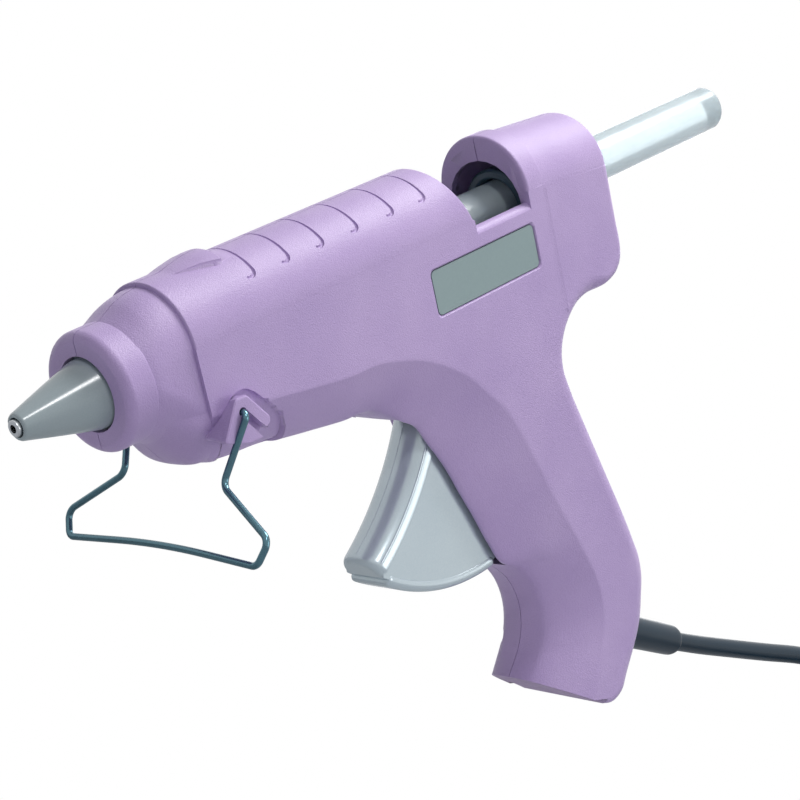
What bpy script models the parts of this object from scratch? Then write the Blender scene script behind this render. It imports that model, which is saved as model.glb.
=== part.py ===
# Hot glue applicator standing on its wire stand and the foot of its grip, with its cord coiled behind it.
# The gun is modelled along its barrel (x to the rear, z up from the glue stick's axis) under one empty
# that pitches it nose down onto the ground. All lengths are in metres.
import math

import bmesh
import bpy
import numpy as np
from mathutils import Matrix, Vector

for old in list(bpy.data.objects):
    bpy.data.objects.remove(old, do_unlink=True)

# Clearances and modelling limits
GAP = 0.0003
PARTING_GAP = 0.00015
RIM_GAP = 0.0009
OVERRUN = 0.004
BIG = 0.4
WELD = 0.00001
HALF = 0.5
SMOOTH_ANGLE = math.radians(35.0)

# How finely round pieces are cut
BARREL_SIDES = 24
COLLAR_SIDES = 36
STICK_SIDES = 20
ROUND_SIDES = 16
SMALL_SIDES = 12
ARCH_STEPS = 16
ROUND_STEPS = 4
SLOT_STEPS = 12
PAD_STEPS = 9
JAW_STEPS = 7
BAR_STEPS = 10

# Standing pose
TILT = math.radians(38.5)
STANCE_MIDDLE = 0.1163
FRAME_HEIGHT_SHARE = 0.077135

# Glue stick, on the barrel's axis
STICK_RADIUS = 0.006
STICK_FRONT = 0.088
STICK_LENGTH = 0.157

# Housing, along the barrel
WALL = 0.002
HALF_WIDTH = 0.0142
ARCH_SPRING = 0.0037
ARCH_RISE = 0.0141
COLLAR_FRONT = 0.0193
COLLAR_LENGTH = 0.0077
NECK_LENGTH = 0.0112
SHROUD_LENGTH = 0.0909
BAY_LENGTH = 0.02
REAR_LENGTH = 0.0324
BAND_LENGTH = 0.0062
REAR_DROP = 0.0015
END_ROUND = 0.0025
BACK_ROUND = 0.005
SILL_HEIGHT = 0.0016
BAY_RAKE_TOP = 0.0075
NECK_FRONT = COLLAR_FRONT + COLLAR_LENGTH
SHROUD_FRONT = NECK_FRONT + NECK_LENGTH
BAY_FRONT = SHROUD_FRONT + SHROUD_LENGTH
BAY_REAR = BAY_FRONT + BAY_LENGTH
REAR_END = BAY_REAR + REAR_LENGTH
FRAME_HEIGHT = REAR_END * FRAME_HEIGHT_SHARE
OVER_TOP = 0.024
FOOT_DEEP = 0.15
STICK_HOLE = 0.007
RING_HOLE = 0.0113
RING_HOLE_RISE = 0.001
CREASE_SHARE = 0.35
TRIM_SHARE = 0.4
ROUND_FIRST_SHARE = 0.28
ROUND_SECOND_SHARE = 0.3

# Collar and neck
COLLAR_RADIUS = 0.0133
COLLAR_ROUND = 0.0022
NOSE_BORE = 0.0083
NOSE_WALL = 0.0022
NECK_CORE = 0.0112
NECK_STEP = 0.0008
NECK_LAP = 0.0015

# Wire stand and its ears
PIVOT_X = 0.0434
PIVOT_Z = -0.0119
WIRE_RADIUS = 0.00078
WIRE_BEND = 0.0014
EAR_FACE = 0.0179
EAR_ROOT = 0.0105
EAR_SIZE = 0.0072
EAR_BORE = 0.00108
EAR_BORE_END = 0.0129
LEG_OUTSET = 0.0014
STAND_ANGLE = math.radians(-122.4)
FOLD_ANGLE = math.radians(-53.0)
KNEE_REACH = 0.0157
KNEE_Y = 0.016
HIP_REACH = 0.0255
HIP_Y = 0.0327
BAR_Y = 0.0312
BAR_CAMBER = 0.0017
NOTCH_WIDTH = 0.0022
NOTCH_DEPTH = 0.0014
NOTCH_REACH = 0.01

# Nozzle, sleeve, melt chamber and heater
TIP_RADIUS = 0.00185
TIP_LENGTH = 0.0014
TIP_BORE = 0.0009
NOZZLE_BASE = 0.0052
NOZZLE_BORE = 0.0018
NOZZLE_FLANGE = 0.0075
FLANGE_THICKNESS = 0.002
STUB_RADIUS = 0.0042
STUB_LENGTH = 0.006
SLEEVE_FRONT = 0.0008
SLEEVE_TIP = 0.0029
SLEEVE_BASE = 0.0078
SLEEVE_FLANGE = 0.0102
SLEEVE_FLANGE_X = COLLAR_FRONT + NOSE_WALL + GAP
CHAMBER_NECK = 0.0082
CHAMBER_RADIUS = 0.0092
SPIGOT_FRONT = 0.0823
SPIGOT_RADIUS = 0.0076
SPIGOT_LENGTH = 0.01
MELT_BORE = 0.0065
MELT_CONE = 0.0125
SEAT_FRONT = 0.046
SEAT_LENGTH = 0.028
SEAT_WIDTH = 0.013
SEAT_DEPTH = 0.0116
CHAMBER_SEAT_TOP = 0.0075
HEATER_LENGTH = 0.024
HEATER_WIDTH = 0.011
HEATER_THICKNESS = 0.003
CLIP_SHEET = 0.0008
CLIP_LENGTH = 0.016
CLIP_LEG = 0.0068
SUPPORT_FRONT = 0.0295
SUPPORT_LENGTH = 0.004
INLET_OUTER = 0.0093
INLET_WALL = 0.0014
INLET_TAIL = 0.0194
CLAMP_RING_WIDTH = 0.0035
CLAMP_RING_THICKNESS = 0.0008
CLAMP_RING_INSET = 0.0024

# Ribs inside the housing
RIB_FRONT = 0.0301
RIB_THICKNESS = 0.0028
RIB_REACH = 0.022
RIB_LOW = -0.0148
INLET_RIB = 0.097
INLET_RIB_THICKNESS = 0.003
BULKHEAD_LOW = -0.001
GUIDE_THICKNESS = 0.002
GUIDE_FRONT = 0.101
GUIDE_INSET = 0.005
GUIDE_REAR = REAR_END - GUIDE_INSET
SPRING_POST_INSET = 0.006
SPRING_POST_X = REAR_END - SPRING_POST_INSET
SPRING_TOP = -0.0087

# Trigger
HINGE_X_SHARE = 0.63636
HINGE_Z_SHARE = -0.15978
HINGE_X = REAR_END * HINGE_X_SHARE
HINGE_Z = REAR_END * HINGE_Z_SHARE
HINGE_PIN = 0.00195
HUB_RADIUS = 0.005
RIM_RADIUS = 0.0534
RIM_DEPTH = 0.003
RIM_START = math.radians(-133.4)
TRIGGER_REAR = math.radians(-81.5)
PLATE_HALF = 0.0063
RIM_HALF = 0.007
PAD_HALF = 0.0076
PAD_CENTRE_AHEAD = 0.0722
PAD_CENTRE_RISE = 0.0292
PAD_CENTRE_X = HINGE_X - PAD_CENTRE_AHEAD
PAD_CENTRE_Z = HINGE_Z + PAD_CENTRE_RISE
PAD_RADIUS = 0.0745
PAD_DEPTH = 0.0045
PAD_TOP = math.radians(-31.0)
PAD_END = math.radians(-62.0)
TRIGGER_STROKE = math.radians(28.0)
SLOT_HALF = 0.0082
SLOT_START = math.radians(-138.0)
SLOT_END = math.radians(-80.0)
ARM_HALF = 0.0024
ARM_WIDTH = 0.0068
ARM_TOP = 0.0198
FORK_DEPTH = 0.0045
DRIVE_Z = -0.0115
DRIVE_HEIGHT = DRIVE_Z - HINGE_Z
DRIVE_PIN = 0.00125
PIVOT_BOSS = 0.004
PIVOT_BOSS_FACE = 0.0073
PIVOT_PIN_HALF = 0.0108

# Feed carriage, jaw and return spring
RING_THICKNESS = 0.0057
RING_SETBACK = 0.0032
RING_BORE = 0.0066
RING_OUTER = 0.0104
RAIL_INNER = 0.0032
RAIL_OUTER = 0.0062
RAIL_TOP = -0.0092
RAIL_BOTTOM = -0.0136
RAIL_LEAD = 0.0066
JAW_AHEAD = 0.0071
JAW_X = BAY_REAR - JAW_AHEAD
BRIDGE_AHEAD = 0.0144
BRIDGE_FRONT = JAW_X - BRIDGE_AHEAD
BRIDGE_LENGTH = 0.0076
JAW_Z = -0.0114
JAW_PIN = 0.001
JAW_HALF = 0.0027
JAW_HUB = 0.0021
JAW_REACH = 0.0055
SPRING_RADIUS = 0.0022
SPRING_WIRE = 0.00035
SPRING_CURLS = 8
CURL_POINTS = 10
SPRING_LEAD = 0.0007

# Fasteners
BOSS_RADIUS = 0.0032
HEAD_BOSS = 0.0042
SCREW_SHANK = 0.0013
SCREW_HEAD = 0.0026
SCREW_HEAD_HEIGHT = 0.0018
SCREW_SEAT = 0.006
SCREW_DEPTH = 0.009
SCREW_RECESS = 0.001
SCREW_CROSS = 0.0013
SCREW_SLIT = 0.0003

# Plates on the flanks
PLATE_AHEAD = 0.0184
PLATE_START = BAY_FRONT - PLATE_AHEAD
PLATE_LENGTH = 0.0378
PLATE_TOP = -0.0035
PLATE_HEIGHT = 0.0107
PLATE_CORNER = 0.0012
PLATE_SHEET = 0.0006
PLATE_RECESS = 0.0009

# Cord, boot and clamp
CORD_RADIUS = 0.00265
BOOT_RISE = math.radians(5.7)
BOOT_SHARES = (0.88759, -0.65604)
BOOT_ROOT = 0.0046
BOOT_TIP = 0.00415
BOOT_LENGTH = 0.0334
BOOT_ROUND = 0.0012
BOOT_NECK = 0.0042
BOOT_FLANGE = 0.0062
BOOT_FLANGE_THICKNESS = 0.0024
BOOT_SEAT = 0.0031
BOOT_STANDOFF = 0.0009
BOOT_HOLE_REACH = 0.005
CORD_TAIL = 0.0215
CLAMP_DISTANCE = 0.0155
CLAMP_BAR_LENGTH = 0.0162
CLAMP_BAR_WIDTH = 0.006
CLAMP_BAR_SHEET = 0.002
CLAMP_SCREW_PITCH = 0.0116
CLAMP_POST = 0.0025
CLAMP_SCREW_SHANK = 0.0009
CLAMP_SCREW_HEAD = 0.0021
CLAMP_SCREW_LENGTH = 0.0085
LEAD_RADIUS = 0.0008
LEAD_SPREAD = 0.0013
LEAD_SPACING = 0.004
HEATER_LEAD_SPREAD = 0.0032
CORD_SPAN = 0.1

# Coil of spare cord and plug, on the ground
COIL_BEYOND = 0.159
COIL_Y = -0.0092
COIL_START = math.radians(90.0)
COIL_TURNS = 6.54
COIL_INNER = 0.0208
COIL_PITCH = 0.0059
LOOP_POINTS = 24
TAIL_LENGTH = 0.026
PLUG_LENGTH = 0.036
PLUG_HEIGHT = 0.0135
PLUG_WIDTH = 0.0262
PLUG_PIN_RADIUS = 0.002
PLUG_PIN_LENGTH = 0.019
PLUG_PIN_SPACING = 0.0186

# Sections of the housing's lower outline, as shares of its length: x and z of the outer line in the
# middle, then x and z of the crease that bounds the flat flank.
UNDERSIDE_SHARES = (
    (0.1818, -0.1025, 0.1818, -0.0540),
    (0.2105, -0.1223, 0.2105, -0.0601),
    (0.2314, -0.1311, 0.2314, -0.0639),
    (0.2590, -0.1361, 0.2590, -0.0678),
    (0.3140, -0.1410, 0.3047, -0.0738),
    (0.3747, -0.1510, 0.3691, -0.0843),
    (0.4408, -0.1620, 0.4353, -0.0937),
    (0.4948, -0.1697, 0.5069, -0.1008),
    (0.5152, -0.1829, 0.5565, -0.1163),
)
TRIGGER_SIDE_SHARES = (
    (0.5372, -0.1961, 0.6006, -0.1394),
    (0.5570, -0.2099, 0.6391, -0.1680),
    (0.5741, -0.2397, 0.6722, -0.2050),
    (0.5989, -0.2882, 0.7085, -0.2534),
    (0.6138, -0.3273, 0.7273, -0.3003),
    (0.6292, -0.3653, 0.7455, -0.3499),
    (0.6479, -0.4160, 0.7669, -0.4088),
    (0.6656, -0.4518, 0.7840, -0.4501),
)
FINGER_SHARES = (
    (0.6920, -0.4755, 0.7945, -0.4810),
    (0.7102, -0.4970, 0.8039, -0.5074),
    (0.7218, -0.5234, 0.8121, -0.5344),
    (0.7256, -0.5510, 0.8154, -0.5620),
    (0.7207, -0.5785, 0.8132, -0.5923),
    (0.7074, -0.6039, 0.8017, -0.6237),
    (0.6887, -0.6237, 0.7840, -0.6556),
)
FOOT_FRONT_SHARES = (
    (0.6755, -0.6359, 0.7557, -0.6997),
)

# The heel, back and rear end, as shares of the length: x and z of the outer line.
BACK_SHARES = (
    (0.7764, -0.7162),
    (0.7999, -0.7264),
    (0.8255, -0.7235),
    (0.8461, -0.7082),
    (0.9010, -0.6392),
    (0.9135, -0.6077),
    (0.9223, -0.5813),
    (0.9245, -0.5488),
    (0.9185, -0.5190),
    (0.8799, -0.3802),
    (0.8617, -0.3179),
    (0.8452, -0.2579),
    (0.8408, -0.2331),
    (0.8430, -0.2127),
    (0.8523, -0.1928),
    (0.8689, -0.1741),
    (0.8898, -0.1603),
    (0.9146, -0.1537),
)
REAR_SHARES = (
    (0.9587, -0.1488),
    (0.9807, -0.1410),
    (0.9956, -0.1245),
    (1.0000, -0.1074),
    (1.0000, -0.0661),
    (1.0000, -0.0220),
    (1.0000, 0.1322),
)

# How a section runs from the outer line to the crease: share of the way out, share of the half width.
BELLY_LAW_SHARES = (
    (1.0, 0.0), (0.995, 0.3), (0.96, 0.48), (0.88, 0.62), (0.6, 0.78), (0.3, 0.9), (0.0, 1.0),
)
SLOT_LAW_SHARES = (
    (1.0, 0.0), (1.0, 0.3), (1.0, 0.5), (1.0, 0.634), (0.66, 0.77), (0.33, 0.89), (0.0, 1.0),
)
FINGER_LAW_SHARES = (
    (1.0, 0.0), (0.98, 0.2), (0.94, 0.4), (0.86, 0.57), (0.6, 0.76), (0.3, 0.9), (0.0, 1.0),
)

# Neck sections: share of its length, then half width, top and bottom as shares of the collar's radius.
NECK_SHARES = (
    (-0.134, 0.962, 0.962, 0.962),
    (0.134, 0.9925, 1.068, 1.068),
    (0.357, 0.9925, 1.158, 1.195),
    (0.625, 0.996, 1.226, 1.383),
    (0.929, 1.0, 1.263, 1.6),
    (1.339, 1.0, 1.271, 1.752),
)

# Rest of the trigger slot's outline, as shares of the length.
SLOT_SHARES = ((0.4959, -0.2755), (0.5262, -0.1598), (0.6832, -0.1598), (0.7218, -0.3306))

# Ear outlines round the stand's pivot, as shares of the ear's size, at its root and at its face.
EAR_ROOT_SHARES = (
    (-0.40, 0.54), (0.22, 0.62), (0.50, 0.47), (1.08, -0.36),
    (1.07, -0.71), (0.64, -1.04), (-1.03, -1.10), (-1.58, -0.43),
)
EAR_FACE_SHARES = (
    (-0.17, 0.49), (0.17, 0.54), (0.40, 0.40), (0.96, -0.40),
    (0.93, -0.65), (0.54, -0.96), (-0.40, -1.00), (-0.69, -0.92),
)

# Places of the housing screws, and route of a heater lead, as shares of the length.
SCREW_SHARES = (
    (0.1983, -0.0860),
    (0.4628, -0.1240),
    (0.9421, -0.0992),
    (0.8044, -0.2534),
    (0.7355, -0.6088),
)
LEAD_SHARES = (
    (0.7686, 0.0165, -0.5565),
    (0.7879, 0.0386, -0.4959),
    (0.8099, 0.0507, -0.4132),
    (0.8127, 0.0518, -0.3306),
    (0.7713, 0.0518, -0.2645),
    (0.7521, 0.0518, -0.2094),
    (0.7080, 0.0518, -0.1488),
    (0.6556, 0.0518, -0.1240),
    (0.6061, 0.0518, -0.1129),
    (0.5399, 0.0518, -0.1036),
    (0.4848, 0.0463, -0.0926),
    (0.4408, 0.0303, -0.0804),
)

# Route of the free cord from the boot's end, as shares of its span, and the coil's tail.
CORD_ROUTE_SHARES = (
    (0.125, -0.003, 0.017),
    (0.261, -0.010, 0.039),
    (0.435, -0.019, 0.068),
    (0.614, -0.030, 0.099),
    (0.745, -0.045, 0.108),
    (0.889, -0.026, 0.089),
    (1.009, 0.044, 0.024),
    (1.129, 0.139, -0.062),
    (1.249, 0.230, -0.146),
    (1.359, 0.291, -0.201),
    (1.419, 0.307, -0.215),
)
TAIL_SHARES = (0.25, 0.5, 0.75, 1.0)

# Plug sections: share of its length, of its width and of its height, then its corner ring.
PLUG_SHARES = (
    (0.0, 0.32, 0.6),
    (0.12, 0.42, 0.8),
    (0.45, 0.78, 1.0),
    (0.7, 1.0, 1.0),
    (0.97, 1.0, 1.0),
    (1.0, 0.94, 0.88),
)
PLUG_CORNER_SHARES = (
    (1.0, -0.45), (1.0, 0.45), (0.9, 0.85), (0.72, 1.0), (-0.72, 1.0), (-0.9, 0.85),
    (-1.0, 0.45), (-1.0, -0.45), (-0.9, -0.85), (-0.72, -1.0), (0.72, -1.0), (0.9, -0.85),
)

# Colour, roughness and metallic value of each finish
FINISHES = {
    "housing": ((0.43, 0.31, 0.56), 0.5, 0.0),
    "trigger": ((0.42, 0.48, 0.51), 0.4, 0.2),
    "sleeve": ((0.25, 0.30, 0.32), 0.5, 0.0),
    "steel": ((0.62, 0.64, 0.66), 0.25, 1.0),
    "aluminium": ((0.70, 0.71, 0.72), 0.45, 1.0),
    "ceramic": ((0.78, 0.76, 0.70), 0.6, 0.0),
    "silicone": ((0.45, 0.12, 0.07), 0.6, 0.0),
    "carriage": ((0.05, 0.09, 0.13), 0.5, 0.0),
    "glue": ((0.75, 0.82, 0.86), 0.35, 0.0),
    "plate": ((0.23, 0.31, 0.32), 0.5, 0.0),
    "cord": ((0.01, 0.02, 0.03), 0.45, 0.0),
    "live_wire": ((0.25, 0.10, 0.04), 0.5, 0.0),
    "neutral_wire": ((0.04, 0.13, 0.42), 0.5, 0.0),
}
materials = {}
for finish, (colour, roughness, metallic) in FINISHES.items():
    material = bpy.data.materials.new(finish)
    material.use_nodes = True
    shader = material.node_tree.nodes["Principled BSDF"]
    shader.inputs["Base Color"].default_value = (*colour, 1.0)
    shader.inputs["Roughness"].default_value = roughness
    shader.inputs["Metallic"].default_value = metallic
    materials[finish] = material

parts = bpy.data.collections.new("hot_glue_applicator")
cutters = bpy.data.collections.new("cutters")
bpy.context.scene.collection.children.link(parts)
bpy.context.scene.collection.children.link(cutters)


# Standing pose: the empty lifts the barrel's frame so that the grip's foot lies on the ground
gun = bpy.data.objects.new("gun_frame", None)
gun.location = (-STANCE_MIDDLE, 0.0, FRAME_HEIGHT)
gun.rotation_euler = (0.0, -TILT, 0.0)
parts.objects.link(gun)


def add(name, mesh, finish=None, parent=gun):
    obj = bpy.data.objects.new(name, mesh)
    (parts if finish else cutters).objects.link(obj)
    obj.parent = parent
    if finish:
        mesh.materials.append(materials[finish])
    else:
        obj.hide_render = True
        obj.display_type = "WIRE"
    return obj


def sharpen(mesh):
    """Shades a round piece smooth and leaves its corners sharp."""
    mesh.shade_smooth()
    mesh.set_sharp_from_angle(angle=SMOOTH_ANGLE)


def mesh_of(name, bm):
    bmesh.ops.remove_doubles(bm, verts=bm.verts, dist=WELD)
    bmesh.ops.recalc_face_normals(bm, faces=bm.faces)
    mesh = bpy.data.meshes.new(name)
    bm.to_mesh(mesh)
    bm.free()
    return mesh


def sections_mesh(name, rings):
    """A closed solid through rings of equally many points."""
    bm = bmesh.new()
    rows = [[bm.verts.new(point) for point in ring] for ring in rings]
    for first, second in zip(rows, rows[1:]):
        for i in range(len(first)):
            j = (i + 1) % len(first)
            bm.faces.new((first[i], first[j], second[j], second[i]))
    bm.faces.new(rows[0])
    bm.faces.new(rows[-1][::-1])
    return mesh_of(name, bm)


def block(name, low, high, finish=None):
    bm = bmesh.new()
    size = Vector(high) - Vector(low)
    middle = (Vector(high) + Vector(low)) * HALF
    shape = Matrix.Translation(middle) @ Matrix.Diagonal((*size, 1.0))
    bmesh.ops.create_cube(bm, size=1.0, matrix=shape)
    return add(name, mesh_of(name, bm), finish)


def plate(name, outline, near, far, finish=None):
    """A flat outline in x and z, as thick as from near to far across."""
    curve = bpy.data.curves.new(name, "CURVE")
    curve.dimensions = "2D"
    curve.fill_mode = "BOTH"
    curve.extrude = (far - near) * HALF
    spline = curve.splines.new("POLY")
    spline.points.add(len(outline) - 1)
    for point, (x, z) in zip(spline.points, outline):
        point.co = (x, z, 0.0, 1.0)
    spline.use_cyclic_u = True
    helper = bpy.data.objects.new(name, curve)
    cutters.objects.link(helper)
    graph = bpy.context.evaluated_depsgraph_get()
    mesh = bpy.data.meshes.new_from_object(helper.evaluated_get(graph))
    bpy.data.objects.remove(helper, do_unlink=True)
    bpy.data.curves.remove(curve)
    upright = Matrix.Rotation(math.pi * HALF, 4, "X")
    mesh.transform(Matrix.Translation((0.0, (near + far) * HALF, 0.0)) @ upright)
    bm = bmesh.new()
    bm.from_mesh(mesh)
    mesh = mesh_of(name, bm)
    return add(name, mesh, finish)


def pin(name, x, z, near, far, radius, finish=None, sides=ROUND_SIDES):
    """A round bar across the barrel."""
    bm = bmesh.new()
    middle = Matrix.Translation((x, (near + far) * HALF, z))
    across = Matrix.Rotation(math.pi * HALF, 4, "X")
    bmesh.ops.create_cone(
        bm, cap_ends=True, segments=sides, radius1=radius, radius2=radius,
        depth=far - near, matrix=middle @ across,
    )
    mesh = mesh_of(name, bm)
    sharpen(mesh)
    return add(name, mesh, finish)


def turned(name, outer, bore, finish=None, sides=BARREL_SIDES, pitch=math.pi * HALF, centre=(0.0, 0.0, 0.0)):
    """A piece turned about its axis: pairs of distance along it and radius, outside and bore."""
    profile = list(reversed(outer)) + list(bore)
    if not bore:
        profile = [(outer[-1][0], 0.0)] + list(reversed(outer)) + [(outer[0][0], 0.0)]
    mesh = bpy.data.meshes.new(name)
    edges = [(i, i + 1) for i in range(len(profile) - 1)]
    if bore:
        edges.append((len(profile) - 1, 0))
    mesh.from_pydata([(radius, 0.0, along) for along, radius in profile], edges, [])
    obj = add(name, mesh, finish)
    obj.location = centre
    obj.rotation_euler = (0.0, pitch, 0.0)
    screw = obj.modifiers.new("turn", "SCREW")
    screw.steps = sides
    screw.render_steps = sides
    screw.use_merge_vertices = True
    screw.merge_threshold = WELD
    screw.use_smooth_shade = False
    return obj


def combine(obj, other, operation="DIFFERENCE", solver="EXACT"):
    step = obj.modifiers.new(other.name, "BOOLEAN")
    step.operation = operation
    step.solver = solver
    step.object = other
    return obj


def seat(obj, x, z):
    """Moves the object's origin onto a joint axis across the barrel."""
    obj.data.transform(Matrix.Translation((-x, 0.0, -z)))
    obj.location = (x, 0.0, z)
    return obj


def tube(name, points, radius, finish, resolution, parent=gun):
    curve = bpy.data.curves.new(name, "CURVE")
    curve.dimensions = "3D"
    curve.bevel_depth = radius
    curve.bevel_resolution = resolution
    curve.use_fill_caps = True
    spline = curve.splines.new("POLY")
    spline.points.add(len(points) - 1)
    for point, place in zip(spline.points, points):
        point.co = (*place, 1.0)
    obj = bpy.data.objects.new(name, curve)
    parts.objects.link(obj)
    obj.parent = parent
    curve.materials.append(materials[finish])
    return obj


def arc(x, z, radius, start, end, steps):
    turn = (end - start) / steps
    angles = [start + turn * i for i in range(steps + 1)]
    return [(x + radius * math.cos(a), z + radius * math.sin(a)) for a in angles]


def smooth_route(route, spacing):
    """Evenly read points of a smooth curve through the route's points."""
    ends = [route[0]] + list(route) + [route[-1]]
    found = [route[0]]
    for a, b, c, d in zip(ends, ends[1:], ends[2:], ends[3:]):
        steps = max(1, round((c - b).length / spacing))
        for i in range(1, steps + 1):
            t = i / steps
            pull = (c - a) * HALF
            push = (d - b) * HALF
            near = b * (2 * t**3 - 3 * t**2 + 1) + pull * (t**3 - 2 * t**2 + t)
            found.append(near + c * (3 * t**2 - 2 * t**3) + push * (t**3 - t**2))
    return found


def least_gap(points, radius, skip):
    """The least distance between stretches of a wound tube, less its diameter."""
    cloud = np.array([tuple(p) for p in points])
    least = min(
        float(np.linalg.norm(cloud[i + skip:] - cloud[i], axis=1).min())
        for i in range(len(cloud) - skip)
    )
    return least - radius * 2


# Housing: one solid outline, made at any depth below its surface
def chamfer_row(row, shares):
    """Half a section from the outer line to the crease: shares of the way out and across."""
    px, pz, cx, cz = row
    return [(cx + (px - cx) * s, cz + (pz - cz) * s, h) for s, h in shares]


def sunk(px, pz, cx, cz, depth, lift):
    """The outer line and the crease moved in to a depth below the surface."""
    across = Vector((cx - px, cz - pz)).normalized() * depth
    up = Vector((math.sin(TILT), math.cos(TILT))) * (depth if lift else 0.0)
    outer = Vector((px, pz)) + across + up
    crease = Vector((cx, cz)) + across * CREASE_SHARE + up
    return outer.x, outer.y, crease.x, crease.y


def body_rings(depth):
    """Half sections round the whole side outline, front to foot to back, at this depth."""
    half = HALF_WIDTH - depth
    rings = []
    groups = (
        (UNDERSIDE_SHARES, BELLY_LAW_SHARES, False),
        (TRIGGER_SIDE_SHARES, SLOT_LAW_SHARES, False),
        (FINGER_SHARES, FINGER_LAW_SHARES, False),
        (FOOT_FRONT_SHARES, FINGER_LAW_SHARES, True),
    )
    for table, law, lift in groups:
        for shares in table:
            px, pz, cx, cz = (share * REAR_END for share in shares)
            row = sunk(px, pz, cx, cz, depth, lift)
            rings.append([(x, z, h * half) for x, z, h in chamfer_row(row, law)])
    back = [(x * REAR_END, z * REAR_END, BACK_ROUND) for x, z in BACK_SHARES]
    back += [(x * REAR_END, z * REAR_END, END_ROUND) for x, z in REAR_SHARES]
    foot = (FOOT_FRONT_SHARES[0][0] * REAR_END, FOOT_FRONT_SHARES[0][1] * REAR_END, 0.0)
    top = (back[-1][0], back[-1][1] + OVERRUN, 0.0)
    line = [foot] + back + [top]
    for (ax, az, _), (x, z, rounding), (bx, bz, _) in zip(line, line[1:], line[2:]):
        inward = Vector((az - bz, bx - ax)).normalized()
        far = Vector((x, z)) + inward * rounding
        near = Vector((x, z)) + inward * depth
        fade = far + inward * depth * CREASE_SHARE
        flat = half - (fade - near).length
        ring = [(near.x, near.y, 0.0), (near.x, near.y, flat * HALF), (near.x, near.y, flat)]
        for i in range(1, ROUND_STEPS + 1):
            angle = math.pi * HALF * i / ROUND_STEPS
            spot = fade + (near - fade) * math.cos(angle)
            ring.append((spot.x, spot.y, flat + (half - flat) * math.sin(angle)))
        rings.append(ring)
    count = len(rings[0])
    for x in (REAR_END - depth, UNDERSIDE_SHARES[0][0] * REAR_END):
        rings.append([(x, OVER_TOP, half * i / (count - 1)) for i in range(count)])
    return rings


def body_solid(name, depth):
    bm = bmesh.new()
    rows = []
    for ring in body_rings(depth):
        points = [(x, -y, z) for x, z, y in reversed(ring)] + [(x, y, z) for x, z, y in ring[1:]]
        rows.append([bm.verts.new(point) for point in points])
    for i, first in enumerate(rows):
        second = rows[(i + 1) % len(rows)]
        for k in range(len(first) - 1):
            bm.faces.new((first[k], first[k + 1], second[k + 1], second[k]))
    bm.faces.new([row[0] for row in rows])
    bm.faces.new([row[-1] for row in rows][::-1])
    body = add(name, mesh_of(name, bm))
    return combine(body, arch_solid(name + "_arch", depth), "INTERSECT", "MANIFOLD")


def arch_section(x, depth, drop):
    """Ring of the arched top at this place, with sides that flare clear of the flat flanks."""
    radius = ARCH_RISE - depth - drop
    wide = HALF_WIDTH + NECK_STEP
    ring = [(x, wide, -FOOT_DEEP), (x, wide, ARCH_SPRING - NECK_STEP)]
    for i in range(ARCH_STEPS + 1):
        angle = math.pi * i / ARCH_STEPS
        ring.append((x, radius * math.cos(angle), ARCH_SPRING + radius * math.sin(angle)))
    ring += [(x, -wide, ARCH_SPRING - NECK_STEP), (x, -wide, -FOOT_DEEP)]
    return ring


def arch_solid(name, depth):
    end = REAR_END - depth
    rings = [
        arch_section(SHROUD_FRONT + depth, depth, 0.0),
        arch_section(BAY_REAR + BAND_LENGTH, depth, 0.0),
        arch_section(end - END_ROUND, depth, REAR_DROP),
        arch_section(
            end - END_ROUND * ROUND_FIRST_SHARE, depth, REAR_DROP + END_ROUND * ROUND_SECOND_SHARE,
        ),
        arch_section(end, depth, REAR_DROP + END_ROUND),
        arch_section(end + NECK_STEP, depth, REAR_DROP + END_ROUND + END_ROUND),
    ]
    return add(name, sections_mesh(name, rings))


def neck_solid(name, depth, front):
    """The conical neck between the collar and the shroud, round above and below."""
    rings = []
    for i, (along, width, top, bottom) in enumerate(NECK_SHARES):
        x = NECK_FRONT + along * NECK_LENGTH
        half = width * COLLAR_RADIUS - depth
        high = top * COLLAR_RADIUS - depth - half
        low = bottom * COLLAR_RADIUS - depth - half
        if i == 0:
            x = front
        ring = []
        for k in range(ARCH_STEPS + 1):
            angle = math.pi * k / ARCH_STEPS
            ring.append((x, half * math.cos(angle), high + half * math.sin(angle)))
        for k in range(ARCH_STEPS + 1):
            angle = math.pi * (k / ARCH_STEPS + 1.0)
            ring.append((x, half * math.cos(angle), -low + half * math.sin(angle)))
        rings.append(ring)
    return add(name, sections_mesh(name, rings))


def ear_solid(name, side):
    face = [(PIVOT_X + x * EAR_SIZE, side * EAR_FACE, PIVOT_Z + z * EAR_SIZE) for x, z in EAR_FACE_SHARES]
    root = [(PIVOT_X + x * EAR_SIZE, side * EAR_ROOT, PIVOT_Z + z * EAR_SIZE) for x, z in EAR_ROOT_SHARES]
    return add(name, sections_mesh(name, [root, face]))


def strip(name, start, end, half, near, far, finish=None):
    """A straight bar in the side view, from start to end, this much to each side."""
    way = Vector((end[0] - start[0], end[1] - start[1])).normalized() * half
    side = (-way.y, way.x)
    outline = [
        (start[0] + side[0], start[1] + side[1]), (end[0] + side[0], end[1] + side[1]),
        (end[0] - side[0], end[1] - side[1]), (start[0] - side[0], start[1] - side[1]),
    ]
    return plate(name, outline, near, far, finish)


# The boot's axis leaves the back of the grip a little above level
BOOT_ROOT_POINT = (BOOT_SHARES[0] * REAR_END, BOOT_SHARES[1] * REAR_END)
BOOT_WAY = Vector((math.cos(TILT - BOOT_RISE), -math.sin(TILT - BOOT_RISE)))
BOOT_PITCH = math.pi * HALF + TILT - BOOT_RISE
BOOT_CENTRE = (BOOT_ROOT_POINT[0], 0.0, BOOT_ROOT_POINT[1])


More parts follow.
